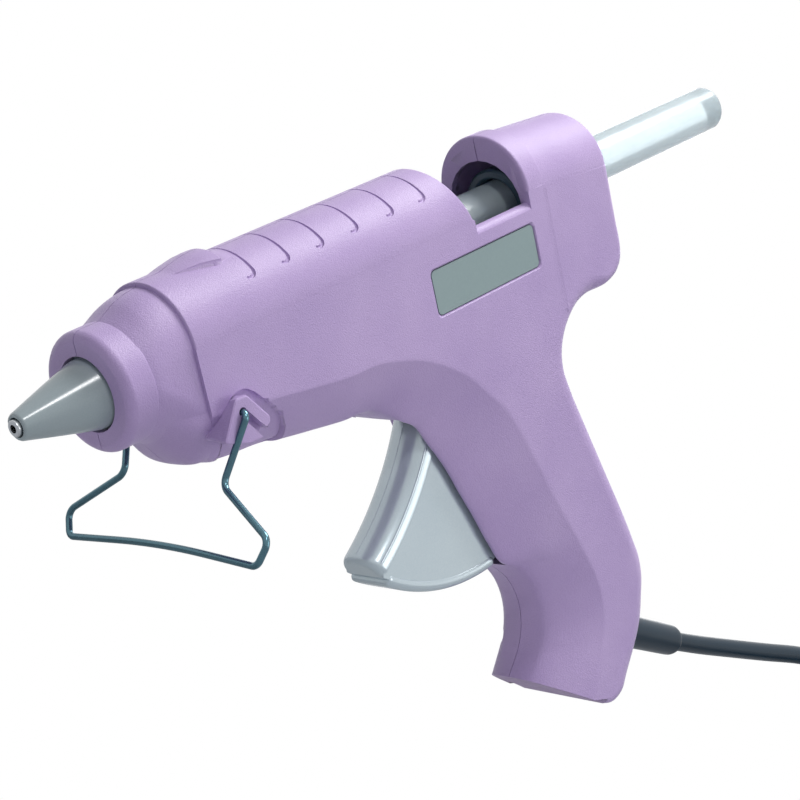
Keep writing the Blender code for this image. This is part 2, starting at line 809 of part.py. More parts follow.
def on_boot(along, off=0.0):
    """A point this far along the boot's axis from the back, and off it in the side view."""
    return (
        BOOT_ROOT_POINT[0] + BOOT_WAY.x * along - BOOT_WAY.y * off,
        BOOT_ROOT_POINT[1] + BOOT_WAY.y * along + BOOT_WAY.x * off,
    )


def make_shell():
    shell = body_solid("shell", 0.0)
    combine(shell, neck_solid("neck", 0.0, NECK_FRONT - NECK_LAP), "UNION")
    edge = COLLAR_ROUND * ROUND_SECOND_SHARE
    collar = turned(
        "collar",
        [
            (COLLAR_FRONT, COLLAR_RADIUS - COLLAR_ROUND),
            (COLLAR_FRONT + edge, COLLAR_RADIUS - edge),
            (COLLAR_FRONT + COLLAR_ROUND, COLLAR_RADIUS),
            (NECK_FRONT, COLLAR_RADIUS),
        ],
        (), None, COLLAR_SIDES,
    )
    combine(shell, collar, "UNION")
    for side, word in ((-1, "left"), (1, "right")):
        combine(shell, ear_solid("ear_" + word, side), "UNION")
    combine(shell, body_solid("cavity", WALL))
    combine(shell, neck_solid("neck_cavity", WALL, COLLAR_FRONT + NOSE_WALL))
    nose_hole = [(0.0, NOSE_BORE), (COLLAR_FRONT + NOSE_WALL + OVERRUN, NOSE_BORE)]
    combine(shell, turned("nose_hole", nose_hole, (), None, COLLAR_SIDES))
    tail_hole = [(REAR_END - OVERRUN, STICK_HOLE), (REAR_END + OVERRUN, STICK_HOLE)]
    combine(shell, turned("tail_hole", tail_hole, (), None, COLLAR_SIDES))
    bay = [
        (BAY_FRONT, SILL_HEIGHT), (BAY_REAR, SILL_HEIGHT),
        (BAY_REAR, OVER_TOP), (BAY_FRONT - BAY_RAKE_TOP, OVER_TOP),
    ]
    combine(shell, plate("bay", bay, -HALF_WIDTH * 2, HALF_WIDTH * 2))
    slot = arc(HINGE_X, HINGE_Z, RIM_RADIUS + RIM_GAP, SLOT_END, SLOT_START, SLOT_STEPS)
    slot += [(x * REAR_END, z * REAR_END) for x, z in SLOT_SHARES]
    combine(shell, plate("trigger_slot", slot, -SLOT_HALF, SLOT_HALF))
    boot_hole = [(-BOOT_HOLE_REACH, BOOT_NECK + GAP), (BOOT_HOLE_REACH, BOOT_NECK + GAP)]
    combine(shell, turned("boot_hole", boot_hole, (), None, SMALL_SIDES, BOOT_PITCH, BOOT_CENTRE))
    for side, word in ((-1, "left"), (1, "right")):
        ends = sorted((side * EAR_BORE_END, side * (EAR_FACE + OVERRUN)))
        combine(shell, pin("ear_bore_" + word, PIVOT_X, PIVOT_Z, *ends, EAR_BORE))
        ends = sorted((side * (EAR_FACE - NOTCH_DEPTH), side * (EAR_FACE + OVERRUN)))
        tip = (
            PIVOT_X + NOTCH_REACH * math.cos(FOLD_ANGLE), PIVOT_Z + NOTCH_REACH * math.sin(FOLD_ANGLE),
        )
        combine(shell, strip("ear_notch_" + word, (PIVOT_X, PIVOT_Z), tip, NOTCH_WIDTH * HALF, *ends))
        ends = sorted((side * (HALF_WIDTH - PLATE_RECESS), side * (HALF_WIDTH + OVERRUN)))
        combine(shell, plate("plate_seat_" + word, plate_outline(GAP), *ends))
    return shell


def plate_outline(spread):
    """The side plate's outline with clipped corners, grown by this much."""
    left = PLATE_START - spread
    right = PLATE_START + PLATE_LENGTH + spread
    top = PLATE_TOP + spread
    bottom = PLATE_TOP - PLATE_HEIGHT - spread
    c = PLATE_CORNER
    return [
        (left, bottom + c), (left + c, bottom), (right - c, bottom), (right, bottom + c),
        (right, top - c), (right - c, top), (left + c, top), (left, top - c),
    ]


def make_half(word, side, shell):
    """One half of the housing: the shell on this side, with its bosses, ribs and posts."""

    def span(near, far):
        return sorted((side * near, side * far))

    deep = HALF_WIDTH + OVERRUN
    inner = PARTING_GAP
    low, high = span(inner, BIG)
    half = block(word + "_housing", (-BIG, low, -BIG), (BIG, high, BIG), "housing")
    combine(half, shell, "INTERSECT", "MANIFOLD")
    low, high = span(inner, deep)
    rear = RIB_FRONT + RIB_THICKNESS
    ribs = block(word + "_ribs", (RIB_FRONT, low, -RIB_REACH), (rear, high, RIB_REACH))
    inlet_rear = INLET_RIB + INLET_RIB_THICKNESS
    post_rear = SPRING_POST_X + WALL
    more = [
        block(word + "_inlet_rib", (INLET_RIB, low, RIB_LOW), (inlet_rear, high, RIB_REACH)),
        block(word + "_bulkhead", (BAY_REAR, low, BULKHEAD_LOW), (BAY_REAR + WALL, high, RIB_REACH)),
        block(word + "_spring_rib", (SPRING_POST_X, low, RIB_LOW), (post_rear, high, SPRING_TOP)),
        pin(word + "_pivot_boss", HINGE_X, HINGE_Z, *span(PIVOT_BOSS_FACE, deep), PIVOT_BOSS),
    ]
    rail_low, rail_high = span(RAIL_INNER, deep)
    guide_top = RAIL_BOTTOM - GAP
    guide_low = guide_top - GUIDE_THICKNESS
    more.append(block(
        word + "_guide", (GUIDE_FRONT, rail_low, guide_low), (GUIDE_REAR, rail_high, guide_top),
    ))
    radius = BOSS_RADIUS if side < 0 else HEAD_BOSS
    screws = [(x * REAR_END, z * REAR_END) for x, z in SCREW_SHARES]
    posts = [on_boot(-CLAMP_DISTANCE, off) for off in (-CLAMP_SCREW_PITCH * HALF, CLAMP_SCREW_PITCH * HALF)]
    for i, place in enumerate(screws):
        more.append(pin(f"{word}_boss_{i + 1}", *place, low, high, radius, None, SMALL_SIDES))
    if side < 0:
        for i, place in enumerate(posts):
            more.append(pin(f"clamp_post_{i + 1}", *place, -deep, CORD_RADIUS, CLAMP_POST, None, SMALL_SIDES))
        start = on_boot(-CLAMP_DISTANCE, -CLAMP_SCREW_PITCH * HALF)
        end = on_boot(-CLAMP_DISTANCE, CLAMP_SCREW_PITCH * HALF)
        more.append(strip("clamp_seat", start, end, WALL * HALF, -deep, -CORD_RADIUS - GAP))
    for extra in more:
        combine(ribs, extra, "UNION")
    ring = [(RIB_FRONT - WALL, NECK_CORE), (rear + WALL, NECK_CORE)]
    combine(ribs, turned(word + "_ring_bore", ring, ()))
    inlet = [(INLET_RIB - WALL, INLET_OUTER + GAP), (inlet_rear + WALL, INLET_OUTER + GAP)]
    combine(ribs, turned(word + "_inlet_bore", inlet, ()))
    bore = [(BAY_REAR - WALL, RING_HOLE), (BAY_REAR + WALL * 2, RING_HOLE)]
    combine(ribs, turned(word + "_bay_bore", bore, (), centre=(0.0, 0.0, RING_HOLE_RISE)))
    combine(ribs, trim, "INTERSECT")
    combine(half, ribs, "UNION", "MANIFOLD")
    hinge_reach = span(0.0, PIVOT_PIN_HALF + GAP)
    holes = [pin(word + "_hinge_bore", HINGE_X, HINGE_Z, *hinge_reach, HINGE_PIN + GAP)]
    shank = SCREW_SHANK + GAP
    for i, place in enumerate(screws):
        if side < 0:
            reach = span(-WALL, SCREW_DEPTH + GAP)
            holes.append(pin(f"pilot_{i + 1}", *place, *reach, shank, None, SMALL_SIDES))
        else:
            reach = span(-WALL, HALF_WIDTH)
            holes.append(pin(f"clearance_{i + 1}", *place, *reach, shank, None, SMALL_SIDES))
            reach = span(SCREW_SEAT, deep)
            holes.append(pin(f"head_well_{i + 1}", *place, *reach, SCREW_HEAD + GAP, None, SMALL_SIDES))
    if side < 0:
        top = CORD_RADIUS + WALL
        low = top - CLAMP_SCREW_LENGTH
        shank = CLAMP_SCREW_SHANK + GAP
        for i, place in enumerate(posts):
            holes.append(pin(f"clamp_pilot_{i + 1}", *place, low, top, shank, None, SMALL_SIDES))
    for hole in holes:
        combine(half, hole, solver="MANIFOLD")


def make_front():
    """Nozzle, its plastic sleeve, the melt chamber with heater and clip, and the rings round them."""
    base = SLEEVE_FLANGE_X + FLANGE_THICKNESS
    seat_x = base + GAP
    chamber = seat_x + FLANGE_THICKNESS + GAP
    flange_rear = seat_x + FLANGE_THICKNESS
    stub_end = flange_rear + STUB_LENGTH
    turned(
        "nozzle",
        [
            (0.0, TIP_RADIUS), (TIP_LENGTH, TIP_RADIUS),
            (SLEEVE_FLANGE_X, NOZZLE_BASE), (seat_x, NOZZLE_BASE),
            (seat_x, NOZZLE_FLANGE), (flange_rear, NOZZLE_FLANGE),
            (flange_rear, STUB_RADIUS), (stub_end, STUB_RADIUS),
        ],
        [(0.0, TIP_BORE), (TIP_LENGTH * 2, TIP_BORE), (TIP_LENGTH * 3, NOZZLE_BORE), (stub_end, NOZZLE_BORE)],
        "steel",
    )
    turned(
        "nozzle_sleeve",
        [
            (SLEEVE_FRONT, SLEEVE_TIP), (COLLAR_FRONT, SLEEVE_BASE), (SLEEVE_FLANGE_X, SLEEVE_BASE),
            (SLEEVE_FLANGE_X, SLEEVE_FLANGE), (base, SLEEVE_FLANGE),
        ],
        [
            (SLEEVE_FRONT, TIP_RADIUS + GAP), (TIP_LENGTH, TIP_RADIUS + GAP),
            (SLEEVE_FLANGE_X, NOZZLE_BASE + GAP), (base, NOZZLE_BASE + GAP),
        ],
        "sleeve",
    )
    shoulder = SUPPORT_FRONT + SUPPORT_LENGTH + GAP
    body = turned(
        "melt_chamber",
        [
            (chamber, CHAMBER_NECK), (shoulder, CHAMBER_NECK),
            (shoulder, CHAMBER_RADIUS), (SPIGOT_FRONT, CHAMBER_RADIUS),
            (SPIGOT_FRONT, SPIGOT_RADIUS), (SPIGOT_FRONT + SPIGOT_LENGTH, SPIGOT_RADIUS),
        ],
        [
            (chamber, STUB_RADIUS + GAP), (shoulder, STUB_RADIUS + GAP), (shoulder, NOZZLE_BORE),
            (shoulder + MELT_CONE, MELT_BORE), (SPIGOT_FRONT + SPIGOT_LENGTH, MELT_BORE),
        ],
        "aluminium",
    )
    seat_rear = SEAT_FRONT + SEAT_LENGTH
    half = SEAT_WIDTH * HALF
    pad = block("heater_seat", (SEAT_FRONT, -half, -SEAT_DEPTH), (seat_rear, half, -CHAMBER_SEAT_TOP))
    combine(body, pad, "UNION")
    middle = (SEAT_FRONT + seat_rear) * HALF
    top = -SEAT_DEPTH - GAP
    reach = HEATER_LENGTH * HALF
    wide = HEATER_WIDTH * HALF
    low = (middle - reach, -wide, top - HEATER_THICKNESS)
    block("ptc_heater", low, (middle + reach, wide, top), "ceramic")
    floor = top - HEATER_THICKNESS - GAP
    reach = CLIP_LENGTH * HALF
    inside = half + GAP
    outside = inside + CLIP_SHEET
    under = floor - CLIP_SHEET
    clip = block("heater_clip", (middle - reach, -outside, under), (middle + reach, outside, floor), "steel")
    for side, word in ((-1, "left"), (1, "right")):
        near, far = sorted((side * inside, side * outside))
        high = (middle + reach, far, floor + CLIP_LEG)
        leg = block("clip_leg_" + word, (middle - reach, near, under), high)
        combine(clip, leg, "UNION")
    turned(
        "support_ring",
        [(SUPPORT_FRONT, NECK_CORE - GAP), (SUPPORT_FRONT + SUPPORT_LENGTH, NECK_CORE - GAP)],
        [(SUPPORT_FRONT, CHAMBER_NECK + GAP), (SUPPORT_FRONT + SUPPORT_LENGTH, CHAMBER_NECK + GAP)],
        "silicone",
    )
    front = SPIGOT_FRONT + GAP
    step = INLET_RIB + INLET_RIB_THICKNESS + GAP * 2
    rest = SPIGOT_FRONT + SPIGOT_LENGTH + GAP
    tail = INLET_OUTER - INLET_WALL
    bore = SPIGOT_RADIUS + GAP
    turned(
        "inlet_sleeve",
        [(front, INLET_OUTER), (step, INLET_OUTER), (step, tail), (rest + INLET_TAIL, tail)],
        [(front, bore), (rest, bore), (rest, STICK_RADIUS + GAP), (rest + INLET_TAIL, STICK_RADIUS + GAP)],
        "silicone",
    )
    start = front + CLAMP_RING_INSET
    inside = INLET_OUTER + GAP
    turned(
        "sleeve_clamp",
        [(start, inside + CLAMP_RING_THICKNESS), (start + CLAMP_RING_WIDTH, inside + CLAMP_RING_THICKNESS)],
        [(start, inside), (start + CLAMP_RING_WIDTH, inside)],
        "steel",
    )


def make_trigger():
    """Sector with rim and finger pad, hub and forked arm, all about the hinge."""
    pad_front = arc(PAD_CENTRE_X, PAD_CENTRE_Z, PAD_RADIUS, PAD_TOP, PAD_END, PAD_STEPS)
    pad_rear = arc(PAD_CENTRE_X, PAD_CENTRE_Z, PAD_RADIUS + PAD_DEPTH, PAD_END, PAD_TOP, PAD_STEPS)
    middle = PAD_RADIUS + PAD_DEPTH * HALF
    pad_middle = arc(PAD_CENTRE_X, PAD_CENTRE_Z, middle, PAD_TOP, PAD_END, PAD_STEPS)
    web = [(HINGE_X - HUB_RADIUS * HALF, HINGE_Z)] + pad_middle
    web += arc(HINGE_X, HINGE_Z, RIM_RADIUS - RIM_DEPTH * HALF, RIM_START, TRIGGER_REAR, PAD_STEPS)
    web += [(HINGE_X + HUB_RADIUS * HALF, HINGE_Z)]
    trigger = plate("trigger", web, -PLATE_HALF, PLATE_HALF, "trigger")
    rim = arc(HINGE_X, HINGE_Z, RIM_RADIUS, RIM_START, TRIGGER_REAR, PAD_STEPS)
    rim += arc(HINGE_X, HINGE_Z, RIM_RADIUS - RIM_DEPTH, TRIGGER_REAR, RIM_START, PAD_STEPS)
    lean = Vector((math.sin(TRIGGER_STROKE * HALF), math.cos(TRIGGER_STROKE * HALF)))
    hinge = Vector((HINGE_X, HINGE_Z))
    top = hinge + lean * ARM_TOP
    fork = hinge + lean * (ARM_TOP - FORK_DEPTH)
    beyond = hinge + lean * (ARM_TOP + FORK_DEPTH)
    extras = [
        plate("trigger_rim", rim, -RIM_HALF, RIM_HALF),
        plate("trigger_pad", pad_front + pad_rear, -PAD_HALF, PAD_HALF),
        pin("trigger_hub", HINGE_X, HINGE_Z, GAP - PIVOT_BOSS_FACE, PIVOT_BOSS_FACE - GAP, HUB_RADIUS),
        strip("trigger_arm", (HINGE_X, HINGE_Z), top, ARM_WIDTH * HALF, -ARM_HALF, ARM_HALF),
    ]
    for extra in extras:
        combine(trigger, extra, "UNION")
    combine(trigger, strip("trigger_fork", fork, beyond, DRIVE_PIN + GAP, -HALF_WIDTH, HALF_WIDTH))
    combine(trigger, pin("trigger_bore", HINGE_X, HINGE_Z, -HALF_WIDTH, HALF_WIDTH, HINGE_PIN + GAP))
    seat(trigger, HINGE_X, HINGE_Z)
    pin("trigger_pin", HINGE_X, HINGE_Z, -PIVOT_PIN_HALF, PIVOT_PIN_HALF, HINGE_PIN, "steel")


def make_feed():
    """Carriage on its guides, drive pin, tilting jaw and its pin, return spring and the glue stick."""
    drive_x = HINGE_X + DRIVE_HEIGHT * math.tan(TRIGGER_STROKE * HALF)
    drive_z = HINGE_Z + DRIVE_HEIGHT
    ring_x = BAY_REAR + RING_SETBACK
    rear = ring_x + RING_THICKNESS
    carriage = turned(
        "feed_carriage",
        [(ring_x, RING_OUTER), (rear, RING_OUTER)],
        [(ring_x, RING_BORE), (rear, RING_BORE)],
        "carriage",
    )
    extras = []
    for side, word in ((-1, "left"), (1, "right")):
        near, far = sorted((side * RAIL_INNER, side * RAIL_OUTER))
        low = (drive_x - RAIL_LEAD, near, RAIL_BOTTOM)
        extras.append(block("rail_" + word, low, (rear - WALL * HALF, far, RAIL_TOP)))
    tie = (RAIL_INNER + RAIL_OUTER) * HALF
    high = (BRIDGE_FRONT + BRIDGE_LENGTH, tie, RAIL_BOTTOM + WALL)
    extras.append(block("bridge", (BRIDGE_FRONT, -tie, RAIL_BOTTOM), high))
    extras.append(block("rear_tie", (rear - WALL * 2, -tie, RAIL_BOTTOM), (rear, tie, RAIL_TOP - GAP)))
    for extra in extras:
        combine(carriage, extra, "UNION")
    bores = (("drive_bore", drive_x, drive_z, DRIVE_PIN), ("jaw_bore", JAW_X, JAW_Z, JAW_PIN))
    for name, x, z, radius in bores:
        combine(carriage, pin(name, x, z, -HALF_WIDTH, HALF_WIDTH, radius + GAP, None, SMALL_SIDES))
    end = RAIL_OUTER - GAP
    pin("drive_pin", drive_x, drive_z, -end, end, DRIVE_PIN, "steel", SMALL_SIDES)
    pin("jaw_pin", JAW_X, JAW_Z, -end, end, JAW_PIN, "steel", SMALL_SIDES)
    tip = (JAW_X - JAW_REACH, -STICK_RADIUS - GAP)
    jaw = [tip, (tip[0] + JAW_HUB, tip[1])]
    jaw += arc(JAW_X, JAW_Z, JAW_HUB, math.pi * HALF * HALF, -math.pi, JAW_STEPS)
    jaw = plate("jaw", jaw, -JAW_HALF, JAW_HALF, "steel")
    combine(jaw, pin("jaw_hole", JAW_X, JAW_Z, -HALF_WIDTH, HALF_WIDTH, JAW_PIN + GAP, None, SMALL_SIDES))
    seat(jaw, JAW_X, JAW_Z)
    coil = []
    start = rear + GAP
    span = SPRING_POST_X - GAP - start
    turns = SPRING_CURLS * CURL_POINTS
    run = span - SPRING_LEAD * 2
    for i in range(turns + 1):
        angle = math.tau * i / CURL_POINTS
        x = start + SPRING_LEAD + run * i / turns
        coil.append(Vector((x, SPRING_RADIUS * math.cos(angle), drive_z + SPRING_RADIUS * math.sin(angle))))
    coil.insert(0, coil[0] - Vector((SPRING_LEAD, 0.0, 0.0)))
    coil.append(coil[-1] + Vector((SPRING_LEAD, 0.0, 0.0)))
    print("return spring, least gap to itself:", least_gap(coil, SPRING_WIRE, CURL_POINTS - 2))
    tube("return_spring", coil, SPRING_WIRE, "steel", 1)
    stick = [(STICK_FRONT, STICK_RADIUS), (STICK_FRONT + STICK_LENGTH, STICK_RADIUS)]
    turned("glue_stick", stick, (), "glue", STICK_SIDES)


def make_stand():
    """The bent wire stand, with its origin on the ears' axis."""
    height = PIVOT_X * math.sin(TILT) + PIVOT_Z * math.cos(TILT) + FRAME_HEIGHT
    drop = -math.sin(STAND_ANGLE + TILT)
    reach = (height - WIRE_RADIUS) / drop
    leg_y = EAR_FACE + LEG_OUTSET
    bend = WIRE_BEND * HALF
    side = [
        (0.0, EAR_BORE_END + GAP), (0.0, leg_y - WIRE_BEND),
        (bend, leg_y - bend * HALF), (WIRE_BEND * 2, leg_y), (KNEE_REACH * HALF, leg_y),
        (KNEE_REACH - WIRE_BEND, KNEE_Y + bend), (KNEE_REACH, KNEE_Y),
        (KNEE_REACH + bend, KNEE_Y + WIRE_BEND),
        (HIP_REACH, HIP_Y - bend), (HIP_REACH + WIRE_BEND, HIP_Y), (HIP_REACH + WIRE_BEND * 2, HIP_Y - bend),
        (reach - bend, BAR_Y), (reach, BAR_Y - WIRE_BEND),
    ]
    bar = []
    for i in range(1, BAR_STEPS):
        t = i / BAR_STEPS
        y = (BAR_Y - WIRE_BEND) * (1.0 - t * 2)
        bar.append((reach - BAR_CAMBER * math.sin(math.pi * t), y))
    route = side + bar + [(t, -y) for t, y in reversed(side)]
    points = [(t * math.cos(STAND_ANGLE), y, t * math.sin(STAND_ANGLE)) for t, y in route]
    stand = tube("wire_stand", points, WIRE_RADIUS, "steel", 2)
    stand.location = (PIVOT_X, 0.0, PIVOT_Z)


def make_trim():
    """Side plates and the screws that close the housing."""
    for word, side in (("name_plate", -1), ("rating_plate", 1)):
        inside = HALF_WIDTH - PLATE_RECESS + GAP
        near, far = sorted((side * inside, side * (inside + PLATE_SHEET)))
        plate(word, plate_outline(0.0), near, far, "plate")
    for i, (x, z) in enumerate(SCREW_SHARES):
        name = f"housing_screw_{i + 1}"
        head = SCREW_SEAT + GAP
        top = head + SCREW_HEAD_HEIGHT
        screw = turned(
            name,
            [(-SCREW_DEPTH, SCREW_SHANK), (head, SCREW_SHANK), (head, SCREW_HEAD), (top, SCREW_HEAD)],
            (), "steel", SMALL_SIDES, centre=(x * REAR_END, 0.0, z * REAR_END),
        )
        screw.rotation_euler = (-math.pi * HALF, 0.0, 0.0)
        cut_cross(screw, x * REAR_END, z * REAR_END, top)


def cut_cross(screw, x, z, top):
    """A crossed slot in a screw's head."""
    for i, (long, short) in enumerate(((SCREW_CROSS, SCREW_SLIT), (SCREW_SLIT, SCREW_CROSS))):
        low = (x - long, top - SCREW_RECESS, z - short)
        high = (x + long, top + SCREW_RECESS, z + short)
        combine(screw, block(f"{screw.name}_cross_{i + 1}", low, high))


def make_cord():
    """Boot, inner cord end, its clamp and screws, the two leads, the free cord, coil and plug."""
    flange = -BOOT_SEAT - BOOT_FLANGE_THICKNESS
    start = BOOT_STANDOFF
    bore = CORD_RADIUS + GAP
    turned(
        "cord_boot",
        [
            (flange, BOOT_FLANGE), (-BOOT_SEAT, BOOT_FLANGE), (-BOOT_SEAT, BOOT_NECK), (start, BOOT_NECK),
            (start, BOOT_ROOT), (BOOT_LENGTH - BOOT_ROUND, BOOT_TIP),
            (BOOT_LENGTH, BOOT_TIP - BOOT_ROUND * HALF),
        ],
        [(flange, bore), (BOOT_LENGTH, bore)],
        "cord", SMALL_SIDES, BOOT_PITCH, BOOT_CENTRE,
    )
    inner = [(-CORD_TAIL, CORD_RADIUS), (BOOT_LENGTH, CORD_RADIUS)]
    turned("cord_inner_end", inner, (), "cord", SMALL_SIDES, BOOT_PITCH, BOOT_CENTRE)
    seat_y = CORD_RADIUS + GAP
    reach = CLAMP_BAR_LENGTH * HALF
    ends = (on_boot(-CLAMP_DISTANCE, -reach), on_boot(-CLAMP_DISTANCE, reach))
    outside = seat_y + CLAMP_BAR_SHEET
    bar = strip("cord_clamp", *ends, CLAMP_BAR_WIDTH * HALF, seat_y, outside, "sleeve")
    for i, off in enumerate((-CLAMP_SCREW_PITCH * HALF, CLAMP_SCREW_PITCH * HALF)):
        x, z = on_boot(-CLAMP_DISTANCE, off)
        hole = CLAMP_SCREW_SHANK + GAP
        combine(bar, pin(f"clamp_hole_{i + 1}", x, z, 0.0, HALF_WIDTH, hole, None, SMALL_SIDES))
        head = outside + GAP
        name = f"clamp_screw_{i + 1}"
        screw = turned(
            name,
            [
                (seat_y - CLAMP_SCREW_LENGTH + WALL, CLAMP_SCREW_SHANK), (head, CLAMP_SCREW_SHANK),
                (head, CLAMP_SCREW_HEAD), (head + SCREW_HEAD_HEIGHT, CLAMP_SCREW_HEAD),
            ],
            (), "steel", SMALL_SIDES, centre=(x, 0.0, z),
        )
        screw.rotation_euler = (-math.pi * HALF, 0.0, 0.0)
        cut_cross(screw, x, z, head + SCREW_HEAD_HEIGHT)
    heater_end = SEAT_FRONT + SEAT_LENGTH - (SEAT_LENGTH - HEATER_LENGTH) * HALF
    heater_z = -SEAT_DEPTH - GAP - HEATER_THICKNESS * HALF
    for name, side, finish in (("lead_live", -1, "live_wire"), ("lead_neutral", 1, "neutral_wire")):
        x, z = on_boot(-CORD_TAIL - GAP)
        ahead = on_boot(-CORD_TAIL - GAP - LEAD_RADIUS * 2)
        route = [Vector((x, side * LEAD_SPREAD, z)), Vector((ahead[0], side * LEAD_SPREAD, ahead[1]))]
        route += [Vector((a * REAR_END, side * b * REAR_END, c * REAR_END)) for a, b, c in LEAD_SHARES]
        end = Vector((heater_end + GAP, side * HEATER_LEAD_SPREAD, heater_z))
        route += [end + Vector((LEAD_RADIUS * 3, 0.0, 0.0)), end]
        tube(name, smooth_route(route, LEAD_SPACING), LEAD_RADIUS, finish, 1)
    end = on_boot(BOOT_LENGTH)
    base = gun.matrix_basis @ Vector((end[0], 0.0, end[1]))
    way = Vector((math.cos(BOOT_RISE), 0.0, math.sin(BOOT_RISE)))
    outer = COIL_INNER + COIL_PITCH * COIL_TURNS * HALF
    centre = Vector((base.x + COIL_BEYOND, COIL_Y, CORD_RADIUS))
    entry = centre + Vector((-CORD_RADIUS * 2, outer, 0.0))
    back = Vector((-CORD_RADIUS * 2, 0.0, 0.0))
    gap = Vector((-GAP, 0.0, 0.0))
    route = [base + way * GAP]
    route += [base + Vector(place) * CORD_SPAN for place in CORD_ROUTE_SHARES]
    route += [entry + gap + back, entry + gap]
    tube("cord", smooth_route(route, CORD_RADIUS * 4), CORD_RADIUS, "cord", 2, None)
    make_coil(entry, centre)


def make_coil(entry, centre):
    """The spare cord wound in two layers, and the plug at its end."""
    coil = [entry]
    steps = round(COIL_TURNS * LOOP_POINTS)
    for i in range(steps + 1):
        turns = i / LOOP_POINTS
        away = abs(turns - COIL_TURNS * HALF)
        climb = min(1.0, max(0.0, (turns - COIL_TURNS * HALF) * 2 + HALF))
        radius = COIL_INNER + COIL_PITCH * away
        angle = COIL_START - math.tau * turns
        spoke = Vector((radius * math.cos(angle), radius * math.sin(angle), COIL_PITCH * climb))
        coil.append(centre + spoke)
    leave = Vector((math.sin(angle), -math.cos(angle), 0.0))
    last = coil[-1]
    drop = PLUG_HEIGHT * HALF - last.z
    for share in TAIL_SHARES:
        lower = Vector((0.0, 0.0, drop * share * share * (3.0 - share * 2)))
        coil.append(last + leave * TAIL_LENGTH * share + lower)
    coil.append(coil[-1] + leave * CORD_RADIUS * 2)
    print("cord coil, least gap to itself:", least_gap(coil, CORD_RADIUS, LOOP_POINTS * 3 // 4))
    length = sum((b - a).length for a, b in zip(coil, coil[1:]))
    print("cord coil, length:", length)
    tube("cord_coil", coil, CORD_RADIUS, "cord", 1, None)
    face = coil[-1] + leave * GAP
    across = Vector((leave.y, -leave.x, 0.0))
    up = Vector((0.0, 0.0, 1.0))
    rings = []
    for along, width, height in PLUG_SHARES:
        wide = PLUG_WIDTH * width * HALF
        high = PLUG_HEIGHT * height * HALF
        middle = face + leave * PLUG_LENGTH * along
        ring = [tuple(middle + across * wide * y + up * high * z) for y, z in PLUG_CORNER_SHARES]
        rings.append(ring)
    add("plug_body", sections_mesh("plug_body", rings), "cord", None)
    for i, side in enumerate((-1, 1)):
        root = face + leave * (PLUG_LENGTH + GAP) + across * side * PLUG_PIN_SPACING * HALF
        tip = root + leave * (PLUG_PIN_LENGTH - PLUG_PIN_RADIUS)
        tube(f"plug_pin_{i + 1}", [tuple(root), tuple(tip)], PLUG_PIN_RADIUS, "steel", 2, None)


trim = body_solid("trim", WALL * TRIM_SHARE)
combine(trim, neck_solid("trim_neck", WALL * TRIM_SHARE, COLLAR_FRONT + WALL), "UNION")
shell = make_shell()
make_half("left", -1, shell)
make_half("right", 1, shell)
make_front()
make_trigger()
make_feed()
make_stand()
make_trim()
make_cord()
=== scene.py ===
import math

import bpy
import numpy as np
from mathutils import Matrix, Vector
from mathutils.bvhtree import BVHTree


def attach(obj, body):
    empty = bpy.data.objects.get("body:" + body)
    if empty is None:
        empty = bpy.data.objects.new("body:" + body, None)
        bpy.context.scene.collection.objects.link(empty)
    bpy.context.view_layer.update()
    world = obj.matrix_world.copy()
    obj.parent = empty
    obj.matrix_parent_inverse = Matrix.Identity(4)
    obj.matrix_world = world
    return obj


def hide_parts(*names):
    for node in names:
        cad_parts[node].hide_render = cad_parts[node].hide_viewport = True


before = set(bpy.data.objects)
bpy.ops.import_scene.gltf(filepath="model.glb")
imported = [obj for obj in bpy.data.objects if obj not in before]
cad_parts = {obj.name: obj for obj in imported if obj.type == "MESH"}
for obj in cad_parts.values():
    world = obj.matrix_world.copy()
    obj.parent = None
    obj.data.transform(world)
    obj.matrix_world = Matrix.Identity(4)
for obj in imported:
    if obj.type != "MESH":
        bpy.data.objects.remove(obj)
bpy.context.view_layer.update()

# Pieces of the gun are made in millimetres along its barrel (x to the rear, z up, nozzle tip at zero),
# then stood up on the ground with stance. The coil and the plug are made where they lie, in metres.
stance = {"tilt": 38.5, "height": 14.0, "middle": 116.3, "length": 181.5}
tilt = math.radians(stance["tilt"])
toGround = (
    Matrix.Translation((-stance["middle"] / 1000, 0, stance["height"] / 1000))
    @ Matrix.Rotation(-tilt, 4, "Y")
    @ Matrix.Scale(0.001, 4)
)


def stood(x, y, z):
    return toGround @ Vector((x, y, z))


def turnedOnly(x, y, z):
    return (Matrix.Rotation(-tilt, 3, "Y") @ Vector((x, y, z))).normalized()


def placed(name, data):
    obj = bpy.data.objects.new(name, data)
    bpy.context.collection.objects.link(obj)
    return obj


def setInputs(node, values):
    for key, value in values.items():
        node.inputs[key].default_value = value


def newNode(tree, kind, values={}, **settings):
    node = tree.nodes.new(kind)
    for key, value in settings.items():
        setattr(node, key, value)
    setInputs(node, values)
    return node


def mixedColours(tree, first, second):
    return newNode(tree, "ShaderNodeMix", {"A": (*first, 1), "B": (*second, 1)}, data_type="RGBA")


def joinNodes(tree, *pairs):
    for start, end in pairs:
        tree.links.new(start, end)


